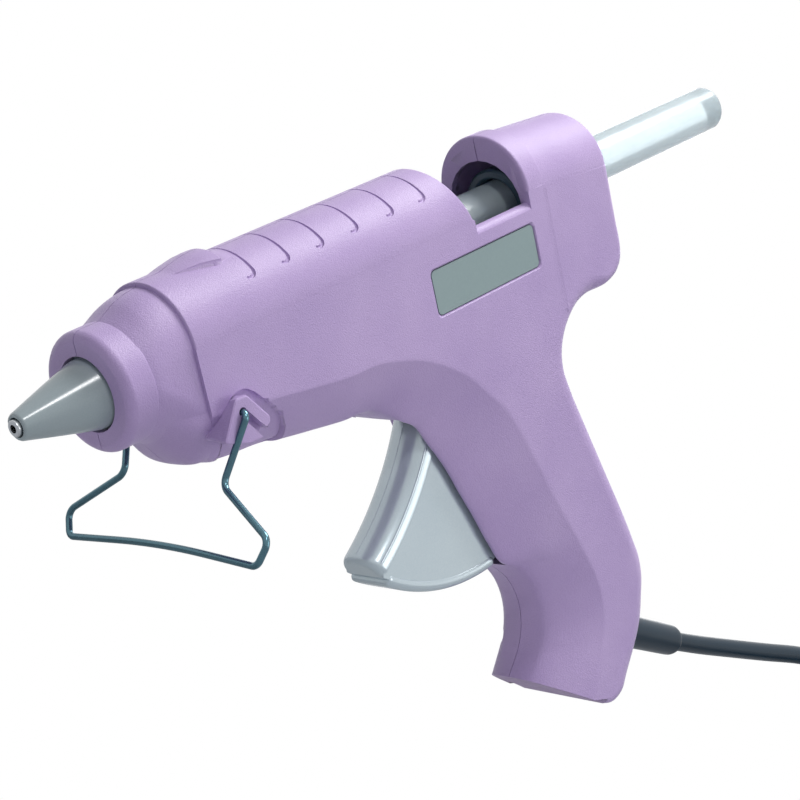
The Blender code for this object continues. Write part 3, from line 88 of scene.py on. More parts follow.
# Camera, light and floor
camera = {
    "place": (-218.88, -333.60, 109.22), "ahead": (0.66681, 0.68486, -0.29381), "right": (0.65611, -0.72647, -0.20433),
    "lens": 92.58, "sensor": 36, "near": 0.01,
}
light = {
    "world": 0.09, "shade": (0.66, 0.78, 1.0),
    "lamps": (
        {"name": "top", "power": 5.6, "size": 0.42, "place": (0.06, -0.16, 0.78), "aim": (0.0, 0.0, 0.08)},
        {"name": "key", "power": 1.8, "size": 0.50, "place": (0.34, -0.84, 0.30), "aim": (0.0, 0.0, 0.08)},
        {"name": "front", "power": 1.3, "size": 0.12, "place": (-0.42, -0.48, 0.54), "aim": (-0.1, 0.0, 0.05)},
        {"name": "back", "power": 0.9, "size": 0.40, "place": (0.55, 0.45, 0.40), "aim": (0.03, 0.0, 0.08)},
    ),
}
ground = {
    "size": 12, "drop": 0.0003, "colour": (0.32, 0.34, 0.38), "rough": 0.9, "shine": 0.1, "through": 0.4,
    "glow": (0.9, 0.9, 0.9),
}


def makeCamera():
    data = bpy.data.cameras.new("view")
    data.sensor_width = camera["sensor"]
    data.lens = camera["lens"]
    data.clip_start = camera["near"]
    cam = placed("view", data)
    right = turnedOnly(*camera["right"])
    back = -turnedOnly(*camera["ahead"])
    up = back.cross(right)
    turn = Matrix((right, up, back)).transposed()
    cam.matrix_world = Matrix.Translation(stood(*camera["place"])) @ turn.to_4x4()
    bpy.context.scene.camera = cam


def makeLamp(name, power, size, place, aim):
    data = bpy.data.lights.new(name, "AREA")
    data.shape = "DISK"
    data.energy = power
    data.size = size
    lamp = placed(name, data)
    lamp.location = place
    lamp.rotation_euler = (Vector(aim) - Vector(place)).to_track_quat("-Z", "Y").to_euler()


def makeWorld():
    world = bpy.data.worlds.new("studio")
    bpy.context.scene.world = world
    world.use_nodes = True
    tree = world.node_tree
    sky = tree.nodes["Background"]
    path = newNode(tree, "ShaderNodeLightPath")
    seen = path.outputs["Is Camera Ray"]
    for ray in ("Is Transmission Ray", "Is Glossy Ray"):
        either = newNode(tree, "ShaderNodeMath", operation="MAXIMUM")
        joinNodes(tree, (seen, either.inputs[0]), (path.outputs[ray], either.inputs[1]))
        seen = either.outputs[0]
    strength = newNode(tree, "ShaderNodeMapRange", {"To Min": light["world"], "To Max": 1})
    tint = mixedColours(tree, light["shade"], (1, 1, 1))
    joinNodes(
        tree, (seen, strength.inputs["Value"]), (strength.outputs[0], sky.inputs["Strength"]),
        (seen, tint.inputs["Factor"]), (tint.outputs["Result"], sky.inputs["Color"]),
    )


def makeFloor():
    bpy.ops.mesh.primitive_plane_add(size=ground["size"], location=(0, 0, -ground["drop"]))
    floor = bpy.context.object
    floor.name = "floor"
    paint = bpy.data.materials.new("pale floor")
    paint.use_nodes = True
    tree = paint.node_tree
    shader = tree.nodes["Principled BSDF"]
    setInputs(shader, {"Base Color": (*ground["colour"], 1), "Roughness": ground["rough"]})
    setInputs(shader, {"Specular IOR Level": ground["shine"]})
    glow = newNode(tree, "ShaderNodeBsdfTranslucent", {"Color": (*ground["glow"], 1)})
    sheet = newNode(tree, "ShaderNodeMixShader", {"Fac": ground["through"]})  # it lets some light up through it
    clear = newNode(tree, "ShaderNodeBsdfTransparent")
    side = newNode(tree, "ShaderNodeNewGeometry")
    mix = newNode(tree, "ShaderNodeMixShader")
    joinNodes(
        tree, (shader.outputs[0], sheet.inputs[1]), (glow.outputs[0], sheet.inputs[2]),
        (side.outputs["Backfacing"], mix.inputs["Fac"]), (sheet.outputs[0], mix.inputs[1]),
        (clear.outputs[0], mix.inputs[2]), (mix.outputs[0], tree.nodes["Material Output"].inputs["Surface"]),
    )
    floor.data.materials.append(paint)


makeCamera()
for lamp in light["lamps"]:
    makeLamp(**lamp)
makeWorld()
makeFloor()
bpy.context.scene.view_settings.view_transform = "Standard"
print("camera, lamps and floor are set")


# Finishes: colour, second colour, roughness, grain, bump and what else differs
finishes = {
    "lilac": ((0.41, 0.295, 0.555), (0.5, 0.372, 0.635), 0.42, 3300, 0.4, {"sheen": 0.12, "shine": 0.4}),
    "silver": ((0.48, 0.565, 0.61), (0.54, 0.62, 0.655), 0.22, 3200, 0.003, {"metal": 0.35, "shine": 0.8}),
    "nozzle grey": ((0.3, 0.36, 0.38), (0.34, 0.4, 0.42), 0.2, 3000, 0.01, {"shine": 0.6}),
    "wire steel": ((0.09, 0.19, 0.23), (0.07, 0.15, 0.19), 0.2, 900, 0.005, {"metal": 0.8, "shine": 0.8}),
    "turned steel": ((0.5, 0.52, 0.54), (0.56, 0.58, 0.6), 0.26, 1500, 0.03, {"metal": 1.0}),
    "cast alloy": ((0.6, 0.61, 0.62), (0.5, 0.51, 0.52), 0.48, 1800, 0.15, {"metal": 1.0}),
    "ceramic film": ((0.56, 0.4, 0.15), (0.64, 0.47, 0.19), 0.4, 700, 0.05),
    "red silicone": ((0.35, 0.05, 0.03), (0.4, 0.07, 0.045), 0.62, 1600, 0.06),
    "carriage blue": ((0.03, 0.062, 0.09), (0.045, 0.085, 0.115), 0.38, 2200, 0.05),
    "cord black": ((0.002, 0.015, 0.03), (0.003, 0.02, 0.038), 0.3, 1900, 0.01, {"shine": 0.32}),
    "brown wire": ((0.13, 0.045, 0.015), (0.16, 0.06, 0.022), 0.45, 1500, 0.03),
    "blue wire": ((0.015, 0.075, 0.32), (0.022, 0.095, 0.38), 0.45, 1500, 0.03),
    "plate grey": ((0.222, 0.3, 0.305), (0.24, 0.322, 0.326), 0.38, 1400, 0.02),
    "hot melt": ((0.6, 0.7, 0.74), (0.66, 0.75, 0.78), 0.2, 300, 0.02),
}
glueDepth = {  # how light goes into the stick
    "Transmission Weight": 0.50, "IOR": 1.45, "Subsurface Weight": 0.05, "Subsurface Radius": (0.004, 0.005, 0.006),
    "Subsurface Scale": 1.0,
}


def makeFinish(name, colour, second, rough, grain, bump, more={}):
    finish = bpy.data.materials.new(name)
    finish.use_nodes = True
    tree = finish.node_tree
    shader = tree.nodes["Principled BSDF"]
    setInputs(shader, {"Metallic": more.get("metal", 0.0), "Specular IOR Level": more.get("shine", 0.5)})
    setInputs(shader, {"Sheen Weight": more.get("sheen", 0.0), "Sheen Roughness": 0.5})
    place = newNode(tree, "ShaderNodeTexCoord").outputs["Object"]
    fine = newNode(tree, "ShaderNodeTexNoise", {"Scale": grain, "Detail": 3})
    broad = newNode(tree, "ShaderNodeTexNoise", {"Scale": 45, "Detail": 2})
    speck = newNode(tree, "ShaderNodeMath", {1: 0.8}, operation="MULTIPLY_ADD")
    spread = newNode(tree, "ShaderNodeMapRange", {"From Min": 0.6, "From Max": 1.2})
    tint = mixedColours(tree, colour, second)
    gloss = newNode(tree, "ShaderNodeMapRange", {"To Min": rough - 0.05, "To Max": rough + 0.06})
    relief = newNode(tree, "ShaderNodeBump", {"Strength": bump, "Distance": 0.0003})
    grains = fine.outputs["Fac"]
    joinNodes(
        tree, (place, fine.inputs["Vector"]), (place, broad.inputs["Vector"]), (grains, speck.inputs[0]),
        (broad.outputs["Fac"], speck.inputs[2]), (speck.outputs[0], spread.inputs["Value"]),
        (spread.outputs[0], tint.inputs["Factor"]), (tint.outputs["Result"], shader.inputs["Base Color"]),
        (grains, gloss.inputs["Value"]), (gloss.outputs[0], shader.inputs["Roughness"]),
        (grains, relief.inputs["Height"]), (relief.outputs[0], shader.inputs["Normal"]),
    )
    return finish


materials = {name: makeFinish(name, *values) for name, values in finishes.items()}
setInputs(materials["hot melt"].node_tree.nodes["Principled BSDF"], glueDepth)
print("finishes are made")


# Bench tools: each works on pieces in millimetres of the gun
def focus(obj):
    bpy.ops.object.select_all(action="DESELECT")
    bpy.context.view_layer.objects.active = obj
    obj.select_set(True)


def meshPiece(name, points, faces=(), edges=()):
    mesh = bpy.data.meshes.new(name)
    mesh.from_pydata([tuple(p) for p in points], list(edges), list(faces))
    return placed(name, mesh)


def editAll(obj):
    focus(obj)
    bpy.ops.object.mode_set(mode="EDIT")
    bpy.ops.mesh.select_all(action="SELECT")


def closeUp(obj, merge=0.0005):
    editAll(obj)
    bpy.ops.mesh.remove_doubles(threshold=merge)
    bpy.ops.mesh.normals_make_consistent(inside=False)
    bpy.ops.object.mode_set(mode="OBJECT")
    return obj


def lofted(name, rings):
    size = len(rings[0])
    points = [p for ring in rings for p in ring]
    faces = []
    for i in range(len(rings) - 1):
        for k in range(size):
            j = (k + 1) % size
            faces.append((i * size + k, i * size + j, (i + 1) * size + j, (i + 1) * size + k))
    faces.append(tuple(range(size)))
    faces.append(tuple(range((len(rings) - 1) * size, len(rings) * size)))
    return closeUp(meshPiece(name, points, faces))


def extruded(name, outline, near, far):
    obj = meshPiece(name, [(x, near, z) for x, z in outline], [tuple(range(len(outline)))])
    editAll(obj)
    bpy.ops.mesh.extrude_region_move(TRANSFORM_OT_translate={"value": (0, far - near, 0)})
    bpy.ops.object.mode_set(mode="OBJECT")
    return closeUp(obj)


def spun(name, section, axis, centre, angle, steps, loop=False):
    count = len(section)
    edges = [(i, i + 1) for i in range(count - 1)] + ([(count - 1, 0)] if loop else [])
    obj = meshPiece(name, section, edges=edges)
    editAll(obj)
    bpy.ops.mesh.spin(steps=steps, angle=angle, center=centre, axis=axis)
    bpy.ops.mesh.select_all(action="SELECT")
    bpy.ops.mesh.remove_doubles(threshold=0.0005)
    bpy.ops.mesh.fill_holes(sides=0)
    bpy.ops.object.mode_set(mode="OBJECT")
    return closeUp(obj)


def turned(name, profile, steps=72, hollow=False):
    return spun(name, [(x, 0, r) for x, r in profile], (1, 0, 0), (0, 0, 0), math.tau, steps, loop=hollow)


def bar(name, x, z, near, far, radius, sides=32):
    bpy.ops.mesh.primitive_cylinder_add(
        vertices=sides, radius=radius, depth=far - near, location=(x, (near + far) / 2, z),
        rotation=(math.pi / 2, 0, 0),
    )
    obj = bpy.context.object
    obj.name = name
    bpy.ops.object.transform_apply()
    return obj


def box(name, low, high):
    bpy.ops.mesh.primitive_cube_add(size=1, location=(Vector(low) + Vector(high)) / 2)
    obj = bpy.context.object
    obj.name = name
    obj.scale = Vector(high) - Vector(low)
    bpy.ops.object.transform_apply()
    return obj


def finishWith(obj, kind, **settings):
    focus(obj)
    step = obj.modifiers.new("step", kind)
    for key, value in settings.items():
        setattr(step, key, value)
    bpy.ops.object.modifier_apply(modifier=step.name)
    return obj


def combined(obj, other, how="DIFFERENCE"):
    finishWith(obj, "BOOLEAN", object=other, operation=how, solver="MANIFOLD")
    bpy.data.objects.remove(other, do_unlink=True)
    return obj


def bevelled(obj, width, segments=3, angle=25):
    limit = math.radians(angle)
    return finishWith(obj, "BEVEL", width=width, segments=segments, limit_method="ANGLE", angle_limit=limit)


def smoothed(obj, angle=32, weigh=True):
    focus(obj)
    bpy.ops.object.shade_smooth_by_angle(angle=math.radians(angle))
    if weigh:
        finishWith(obj, "WEIGHTED_NORMAL", keep_sharp=True, weight=80)
    return obj


def standUp(obj, finish, body, *nodes):
    obj.data.transform(toGround)
    obj.data.materials.clear()
    obj.data.materials.append(materials[finish])
    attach(obj, body)
    if nodes:
        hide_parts(*nodes)
    return obj


def between(rows, spacing):
    rows = [np.array(row, float) for row in rows]
    ends = [rows[0]] + rows + [rows[-1]]
    found = [rows[0]]
    for a, b, c, d in zip(ends, ends[1:], ends[2:], ends[3:]):
        steps = max(1, round(float(np.linalg.norm((c - b)[:2])) / spacing))
        before = np.linalg.norm((b - a)[:2]) or 1.0
        span = np.linalg.norm((c - b)[:2]) or 1.0
        after = np.linalg.norm((d - c)[:2]) or 1.0
        pull = ((c - b) / span * before + (b - a) / before * span) / (before + span) * span if a is not b else c - b
        push = ((d - c) / after * span + (c - b) / span * after) / (span + after) * span if c is not d else c - b
        for i in range(1, steps + 1):
            t = i / steps
            found.append(
                b * (2 * t**3 - 3 * t**2 + 1) + pull * (t**3 - 2 * t**2 + t)
                + c * (3 * t**2 - 2 * t**3) + push * (t**3 - t**2)
            )
    return found


def arcPoints(x, z, radius, start, end, steps):
    angles = [math.radians(start + (end - start) * i / steps) for i in range(steps + 1)]
    return [(x + radius * math.cos(a), z + radius * math.sin(a)) for a in angles]


# Housing: outline of the side view as shares of its length. Each row has the middle line, then the crease.
housing = {
    "half": 14.2, "wall": 1.8, "archRise": 14.1, "archMiddle": 3.7, "front": 38.2, "bayFront": 129.1, "bayRear": 149.1,
    "rake": 7.5, "rakeHeight": 22.4, "sill": 1.6, "sillRound": 2.1, "backRound": 5.0, "endRound": 2.5, "drop": 1.5,
    "collarFront": 19.3, "collarRadius": 13.3, "collarRound": 2.2, "neckFront": 27.0, "neckLength": 11.2,
    "parting": 0.09, "fine": 1.0, "ringEnd": 6.2, "sillSpan": (118.0, 152.0),
}
ringBand = {"middle": 4.45, "rise": 14.05, "length": 6.8, "round": 0.9, "sink": 0.75}
underside = (
    (0.1818, -0.1025, 0.1818, -0.0540), (0.2105, -0.1223, 0.2105, -0.0601), (0.2314, -0.1311, 0.2314, -0.0639),
    (0.2590, -0.1361, 0.2590, -0.0678), (0.3140, -0.1410, 0.3047, -0.0738), (0.3747, -0.1510, 0.3691, -0.0843),
    (0.4408, -0.1620, 0.4353, -0.0937), (0.4948, -0.1697, 0.5069, -0.1008), (0.5152, -0.1829, 0.5565, -0.1163),
)
triggerSide = (
    (0.5372, -0.1961, 0.6006, -0.1394), (0.5570, -0.2099, 0.6391, -0.1680), (0.5741, -0.2397, 0.6722, -0.2050),
    (0.5989, -0.2882, 0.7085, -0.2534), (0.6138, -0.3273, 0.7273, -0.3003), (0.6292, -0.3653, 0.7455, -0.3499),
    (0.6479, -0.4160, 0.7669, -0.4088), (0.6656, -0.4518, 0.7840, -0.4501),
)
fingerSide = (
    (0.6920, -0.4755, 0.7945, -0.4810), (0.7102, -0.4970, 0.8039, -0.5074), (0.7218, -0.5234, 0.8121, -0.5344),
    (0.7256, -0.5510, 0.8154, -0.5620), (0.7207, -0.5785, 0.8132, -0.5923), (0.7074, -0.6039, 0.8017, -0.6237),
    (0.6887, -0.6237, 0.7840, -0.6556), (0.6755, -0.6359, 0.7557, -0.6997),
)
backLine = (
    (0.7764, -0.7162), (0.7999, -0.7264), (0.8255, -0.7235), (0.8461, -0.7082), (0.9010, -0.6392), (0.9135, -0.6077),
    (0.9223, -0.5813), (0.9245, -0.5488), (0.9185, -0.5190), (0.8799, -0.3802), (0.8617, -0.3179), (0.8452, -0.2579),
    (0.8408, -0.2331), (0.8430, -0.2127), (0.8523, -0.1928), (0.8689, -0.1741), (0.8898, -0.1603), (0.9146, -0.1537),
)
rearLine = (
    (0.9587, -0.1488), (0.9807, -0.1410), (0.9956, -0.1245), (1.0000, -0.1074), (1.0000, -0.0661),
    (1.0000, -0.0220), (1.0000, 0.1322),
)
bellyLaw = ((1.0, 0.0), (0.995, 0.3), (0.96, 0.48), (0.88, 0.62), (0.6, 0.78), (0.3, 0.9), (0.0, 1.0))
slotLaw = ((1.0, 0.0), (1.0, 0.3), (1.0, 0.5), (1.0, 0.634), (0.66, 0.77), (0.33, 0.89), (0.0, 1.0))
fingerLaw = ((1.0, 0.0), (0.98, 0.2), (0.94, 0.4), (0.86, 0.57), (0.6, 0.76), (0.3, 0.9), (0.0, 1.0))
creaseRound = ((0.055, 0.985), (0.012, 0.9975), (-0.035, 1.0))
neckRows = (
    (-0.134, 0.962, 0.962, 0.962), (0.134, 0.9925, 1.068, 1.068), (0.357, 0.9925, 1.158, 1.195),
    (0.625, 0.996, 1.226, 1.383), (0.929, 1.0, 1.263, 1.6), (1.339, 1.0, 1.271, 1.752),
)


def lawPoints(law):
    fine = []
    for (s, h), (t, k) in zip(law, law[1:]):
        fine += [(s, h), ((s + t) / 2, (h + k) / 2)]
    fine = np.array(fine)
    soft = fine.copy()
    soft[2:-1] = (fine[1:-2] + fine[2:-1] * 2 + fine[3:]) / 4
    return [tuple(p) for p in soft] + list(creaseRound)


def outlineRows(depth):
    length = stance["length"]
    half = housing["half"] - depth
    up = np.array([math.sin(tilt), math.cos(tilt)])
    rows = []
    for table, law in ((underside, bellyLaw), (triggerSide, slotLaw), (fingerSide, fingerLaw)):
        for shares in table:
            p, c = np.array(shares[:2]) * length, np.array(shares[2:]) * length
            across = (c - p) / np.linalg.norm(c - p) * depth
            last = shares is fingerSide[-1]
            lift = up * depth if last else 0
            flat = [value for s, h in lawPoints(law) for value in (max(s, 0.0) if last else s, h)]
            rows.append(np.concatenate([p + across + lift, c + across * 0.35 + lift, flat]))
    corner = np.array(fingerSide[-1][:2]) * length
    line = [corner] + [np.array(p) * length for p in backLine + rearLine]
    line.append(line[-1] + (0, 4.0))
    back = []
    for i in range(1, len(line) - 1):
        a, p, b = line[i - 1], line[i], line[i + 1]
        reach = housing["backRound"] * min(1.0, i * 0.25) if i <= len(backLine) else housing["endRound"]
        inward = np.array([a[1] - b[1], b[0] - a[0]])
        inward = inward / np.linalg.norm(inward)
        near, far = p + inward * depth, p + inward * (reach + depth * 0.35)
        flat = half - np.linalg.norm(far - near)
        law = [(1, 0), (1, flat / half / 2)]
        for k in range(11):
            angle = math.pi / 2 * k / 10
            law.append((math.cos(angle), (flat + (half - flat) * math.sin(angle)) / half))
        law += [(-0.05, 1), (-0.1, 1)]
        back.append(np.concatenate([near, far, [value for point in law for value in point]]))
    return between(rows, housing["fine"]) + between(back, housing["fine"])


def blankBody(name, depth):
    half = housing["half"] - depth
    rings = []
    for row in outlineRows(depth):
        p, c, law = row[:2], row[2:4], row[4:].reshape(-1, 2)
        spots = [(*(c + (p - c) * s), h * half) for s, h in law]
        rings.append([(x, -y, z) for x, z, y in reversed(spots)] + [(x, y, z) for x, z, y in spots[1:]])
    count = len(rings[0])
    across = [half * (2 * i / (count - 1) - 1) for i in range(count)]
    for x in (stance["length"] - depth, underside[0][0] * stance["length"]):
        rings.append([(x, y, 24.0) for y in across])
    points = [p for ring in rings for p in ring]
    faces = []
    total = len(rings)
    for i in range(total):
        for k in range(count - 1):
            j = (i + 1) % total
            faces.append((i * count + k, i * count + k + 1, j * count + k + 1, j * count + k))
    faces.append(tuple(i * count for i in range(total)))
    faces.append(tuple(i * count + count - 1 for i in range(total)))
    return closeUp(meshPiece(name, points, faces))


def archRing(x, inset, drop, rake=0.0, middle=None, rise=None, hollow=False):
    middle = (housing["archMiddle"] if middle is None else middle) - drop
    radius = (housing["archRise"] if rise is None else rise) - inset
    wide = housing["half"] + (-inset if hollow else 0.6)
    ring = [(wide, -150.0), (wide, middle - 0.6)]
    ring += [(radius * math.cos(a), middle + radius * math.sin(a)) for a in np.linspace(0, math.pi, 73)]
    ring += [(-wide, middle - 0.6), (-wide, -150.0)]
    return [(x - rake * (max(z, -3.0) - housing["sill"]), y, z) for y, z in ring]


edgeRound = ((0.0, 1.0), (0.12, 0.56), (0.35, 0.25), (0.65, 0.07), (1.0, 0.0))  # along and inward, of one round


def barrelArch(depth):
    h, end = housing, stance["length"]
    rake = h["rake"] / h["rakeHeight"]
    if depth:
        spots = (
            (h["front"] + depth, 0), (h["bayRear"] + h["ringEnd"], 0), (end - 3, h["drop"]),
            (end - depth, h["drop"] + 0.5),
        )
        return lofted("archBlank", [archRing(x, depth, drop, hollow=True) for x, drop in spots])
    front = [archRing(h["front"] + a * 0.5, s * 0.5, 0) for a, s in edgeRound]
    rear = [archRing(h["bayFront"] - a * 0.8, s * 0.8, 0, rake) for a, s in reversed(edgeRound)]
    arch = lofted("barrelArch", front + rear)
    rings = [archRing(h["bayRear"] + a, s, 0) for a, s in edgeRound]
    rings.append(archRing(h["bayRear"] + h["ringEnd"], 0, 0))
    rings += [archRing(end - h["endRound"] * a, h["endRound"] * s, h["drop"]) for a, s in reversed(edgeRound)]
    rings.append(archRing(end + 1, h["endRound"] * 1.5, h["drop"]))
    combined(arch, lofted("rearArch", rings), "UNION")
    b = ringBand
    spots = [(a, s) for a, s in edgeRound]
    spots += [(b["length"] - a * b["round"], s * b["sink"]) for a, s in reversed(edgeRound)]
    band = [archRing(h["bayRear"] + a, s, 0, middle=b["middle"], rise=b["rise"]) for a, s in spots]
    combined(arch, lofted("ringBand", band), "UNION")
    r, w, top = h["sillRound"], h["half"] + 0.6, h["sill"]
    angles = np.linspace(0, math.pi / 2 * 0.86, 7)
    lip = [(h["half"] - r + r * math.sin(a), top - r + r * math.cos(a)) for a in angles]
    side = [(0.0, top)] + lip + [(w, top - r * 1.6), (w, -150.0)]
    ring = side + [(-y, z) for y, z in reversed(side[1:])]
    combined(arch, lofted("sillBlock", [[(x, y, z) for y, z in ring] for x in h["sillSpan"]]), "UNION")
    return arch


def neckBlank(name, depth, front):
    h, radius = housing, housing["collarRadius"]
    rows = [(h["neckFront"] + a * h["neckLength"], 0, w * radius, t * radius, b * radius) for a, w, t, b in neckRows]
    fine = between(rows, 0.8)
    rings = []
    for i, (x, _, w, t, b) in enumerate(fine):
        half, high, low = w - depth, t - w, b - w
        x = front if i == 0 else x
        ring = [(x, half * math.cos(a), high + half * math.sin(a)) for a in np.linspace(0, math.pi, 49)]
        ring += [(x, half * math.cos(a), -low + half * math.sin(a)) for a in np.linspace(math.pi, math.tau, 49)]
        rings.append(ring)
    return lofted(name, rings)


ears = {
    "pivot": (43.4, -11.9), "face": 17.9, "root": 13.3, "bore": 1.08, "dishDepth": 1.1,
    "rootCorners": (
        (44.0, -9.9, 0.4), (45.6, -9.3, 0.6), (51.2, -15.9, 1.2), (47.6, -19.4, 1.0), (43.2, -19.4, 1.2),
        (36.2, -15.6, 0.5),
    ),
    "corners": (
        (42.2, -8.5, 1.0), (45.5, -8.7, 1.3), (50.9, -15.9, 1.5), (47.3, -19.1, 1.2), (43.2, -18.9, 2.0),
        (36.6, -16.5, 0.7),
    ),
    "slot": {"angle": -53.0, "half": 1.0, "flare": 1.12, "straight": 5.2, "turn": 6.6, "reach": 9.5, "depth": 2.5},
    "dish": (
        (41.5, -12.5), (42.3, -10.8), (43.6, -9.6), (45.6, -8.7), (48.4, -8.7), (50.4, -9.9), (52.9, -12.5),
        (56.4, -15.9), (59.1, -19.3), (59.8, -21.2), (60.1, -23.6),
    ),
}


def roundedOutline(corners, grow=0.0, steps=6):
    spots = [Vector(c[:2]) for c in corners]
    middle = sum(spots, Vector((0, 0))) / len(spots)
    outline = []
    for i, (x, z, r) in enumerate(corners):
        p = spots[i]
        u, v = (spots[i - 1] - p).normalized(), (spots[(i + 1) % len(spots)] - p).normalized()
        angle = u.angle(v)
        centre = p + (u + v).normalized() * (r / math.sin(angle / 2))
        first, last = p + u * (r / math.tan(angle / 2)) - centre, p + v * (r / math.tan(angle / 2)) - centre
        for k in range(steps + 1):
            spot = centre + (first.lerp(last, k / steps)).normalized() * r
            outline.append(spot + (spot - middle).normalized() * grow)
    return [(spot.x, spot.y) for spot in outline]


def earPiece(side):
    e = ears
    levels = [(e["root"] - 1.5, "rootCorners", 0.0), (e["root"], "rootCorners", 0.0)]
    levels += [(e["face"] - back, "corners", grow) for back, grow in ((0.5, 0.0), (0.15, -0.12), (0.0, -0.5))]
    rings = []
    for y, which, grow in levels:
        rings.append([(x, side * y, z) for x, z in roundedOutline(e[which], grow)])
    ear = lofted("ear", rings)
    n = e["slot"]
    way = Vector((math.cos(math.radians(n["angle"])), math.sin(math.radians(n["angle"]))))
    off, start = Vector((-way.y, way.x)), Vector(e["pivot"])
    rim = [(0, 1), (n["straight"], 1), (n["turn"], n["flare"]), (n["reach"], n["flare"] + 0.1)]
    rim += [(a, -b) for a, b in reversed(rim)]
    rim = [start + way * a + off * n["half"] * b for a, b in rim]
    near, far = sorted((side * (e["face"] - n["depth"]), side * (e["face"] + 2)))
    combined(ear, extruded("notch", rim, near, far))
    return ear


def dishCutter(side):
    near, far = sorted((side * 3.0, side * 20.0))
    rim = [tuple(p) for p in between(ears["dish"], 0.7)] + [(60.4, -30.0), (41.5, -30.0)]
    cutter = extruded("dish", rim, near, far)
    floor = blankBody("dishFloor", 0)
    floor.data.transform(Matrix.Translation((0, -side * ears["dishDepth"], ears["dishDepth"] * 0.5)))
    return combined(cutter, floor)


sight = {  # each section: how far along, how high over the barrel and how wide to each side
    "sections": (
        (43.5, -0.25, 3.5), (46.0, 0.3, 4.2), (49.0, 0.95, 5.0), (52.0, 1.45, 5.8), (54.6, 1.58, 6.5),
        (56.7, 1.55, 6.9),
    ),
    "crown": 0.15, "foot": 11.0,
}


def sightWedge():
    rings = []
    for x, lift, half in sight["sections"]:
        crown = []
        for share in np.linspace(-1, 1, 13):
            y = half * share
            barrel = housing["archMiddle"] + math.sqrt(housing["archRise"] ** 2 - y * y)
            crown.append((x, y, barrel + lift * (1 - sight["crown"] * share * share)))
        rings.append([(x, -half - 0.15, sight["foot"])] + crown + [(x, half + 0.15, sight["foot"])])
    return bevelled(lofted("sight", rings), 0.12, 2, 40)


grooves = {
    "places": (61.5, 72.0, 82.8, 94.0, 106.0, 117.0), "low": 36.5, "thin": 0.20, "thick": 0.46, "sink": 0.05,
    "hook": 1.7,
}


def tube(name, points, radius, resolution=4, shares=None):
    curve = bpy.data.curves.new(name, "CURVE")
    curve.dimensions = "3D"
    curve.bevel_depth = radius
    curve.bevel_resolution = resolution
    curve.use_fill_caps = True
    line = curve.splines.new("POLY")
    line.points.add(len(points) - 1)
    for spot, place, share in zip(line.points, points, shares or [1.0] * len(points)):
        spot.co = (*place, 1.0)
        spot.radius = share
    return placed(name, curve)


def meshTube(name, points, radius, resolution=4, shares=None):
    obj = tube(name, points, radius, resolution, shares)
    focus(obj)
    bpy.ops.object.convert(target="MESH")
    return closeUp(bpy.context.object)


def grooveCutter(x):
    g = grooves
    rise, middle = housing["archRise"] - g["sink"], housing["archMiddle"]
    low, hook = math.radians(g["low"]), g["hook"]
    side = []  # the low end turns towards the nozzle
    for t in np.linspace(math.radians(125), 0, 14):
        side.append((x - hook * (1 - math.cos(t)), low + hook / rise * (1 - math.sin(t)), 1.0 if t < 1.6 else 0.75))
    for a in np.linspace(low + hook / rise, math.pi / 2, 26)[1:]:
        share = (a - low) / (math.pi / 2 - low)
        side.append((x, a, 1.0 + (g["thin"] / g["thick"] - 1.0) * share))
    route = side + [(a, math.pi - b, w) for a, b, w in reversed(side[:-1])]
    path = [(a, -rise * math.cos(b), middle + rise * math.sin(b)) for a, b, w in route]
    return meshTube("groove", path, g["thick"], 3, [w for a, b, w in route])


plates = {"start": 110.7, "length": 37.8, "top": -3.5, "height": 10.7, "corner": 1.3, "sheet": 0.6, "recess": 1.15}


def plateRim(grow):
    p = plates
    left, right = p["start"] - grow, p["start"] + p["length"] + grow
    top, bottom = p["top"] + grow, p["top"] - p["height"] - grow
    r = p["corner"]
    rim = []
    hubs = ((right - r, top - r), (left + r, top - r), (left + r, bottom + r), (right - r, bottom + r))
    for i, (x, z) in enumerate(hubs):
        rim += arcPoints(x, z, r, 90 * i, 90 * i + 90, 6)
    return rim


triggerSizes = {
    "hinge": (115.5, -29.0), "rim": 53.4, "rimDepth": 3.0, "rimStart": -129.6, "rear": -84.4, "rimHalf": 6.5,
    "web": 6.1, "padHalf": 6.5, "padCentre": (43.3, 0.2), "padRadius": 73.7, "padDepth": 5.5, "padBow": 5.0,
    "padTop": -31.0, "padEnd": -58.9, "padRows": 30, "seam": 0.14, "slotHalf": 7.3, "slotRoom": 1.5, "hub": 5.0,
    "pin": 1.95, "lean": 14.0, "armLength": 19.8, "armWide": 3.4, "armHalf": 2.4, "forkWide": 1.55, "forkLow": 15.3,
    "forkHigh": 24.0,
}
slotCorners = ((0.5120, -0.2755), (0.5420, -0.1598), (0.6832, -0.1598), (0.7218, -0.3306))
screwShares = ((0.1983, -0.0860), (0.4628, -0.1240), (0.9421, -0.0992), (0.8044, -0.2534), (0.7355, -0.6088))
screwPlaces = [(x * stance["length"], z * stance["length"]) for x, z in screwShares]
boot = {"root": (161.098, -119.071), "rise": 5.7, "length": 33.4, "wide": 4.6, "neck": 4.2, "bore": 2.95}
bootTurn = -(tilt - math.radians(boot["rise"]))
bootWay = Vector((math.cos(bootTurn), 0, math.sin(bootTurn)))


def onBoot(along, off=0.0):
    return Vector((boot["root"][0], 0, boot["root"][1])) + bootWay * along + Vector((-bootWay.z, 0, bootWay.x)) * off


def alongBoot(obj):
    turn = Matrix.Rotation(-bootTurn, 4, "Y")
    obj.data.transform(Matrix.Translation((boot["root"][0], 0, boot["root"][1])) @ turn)
    return obj


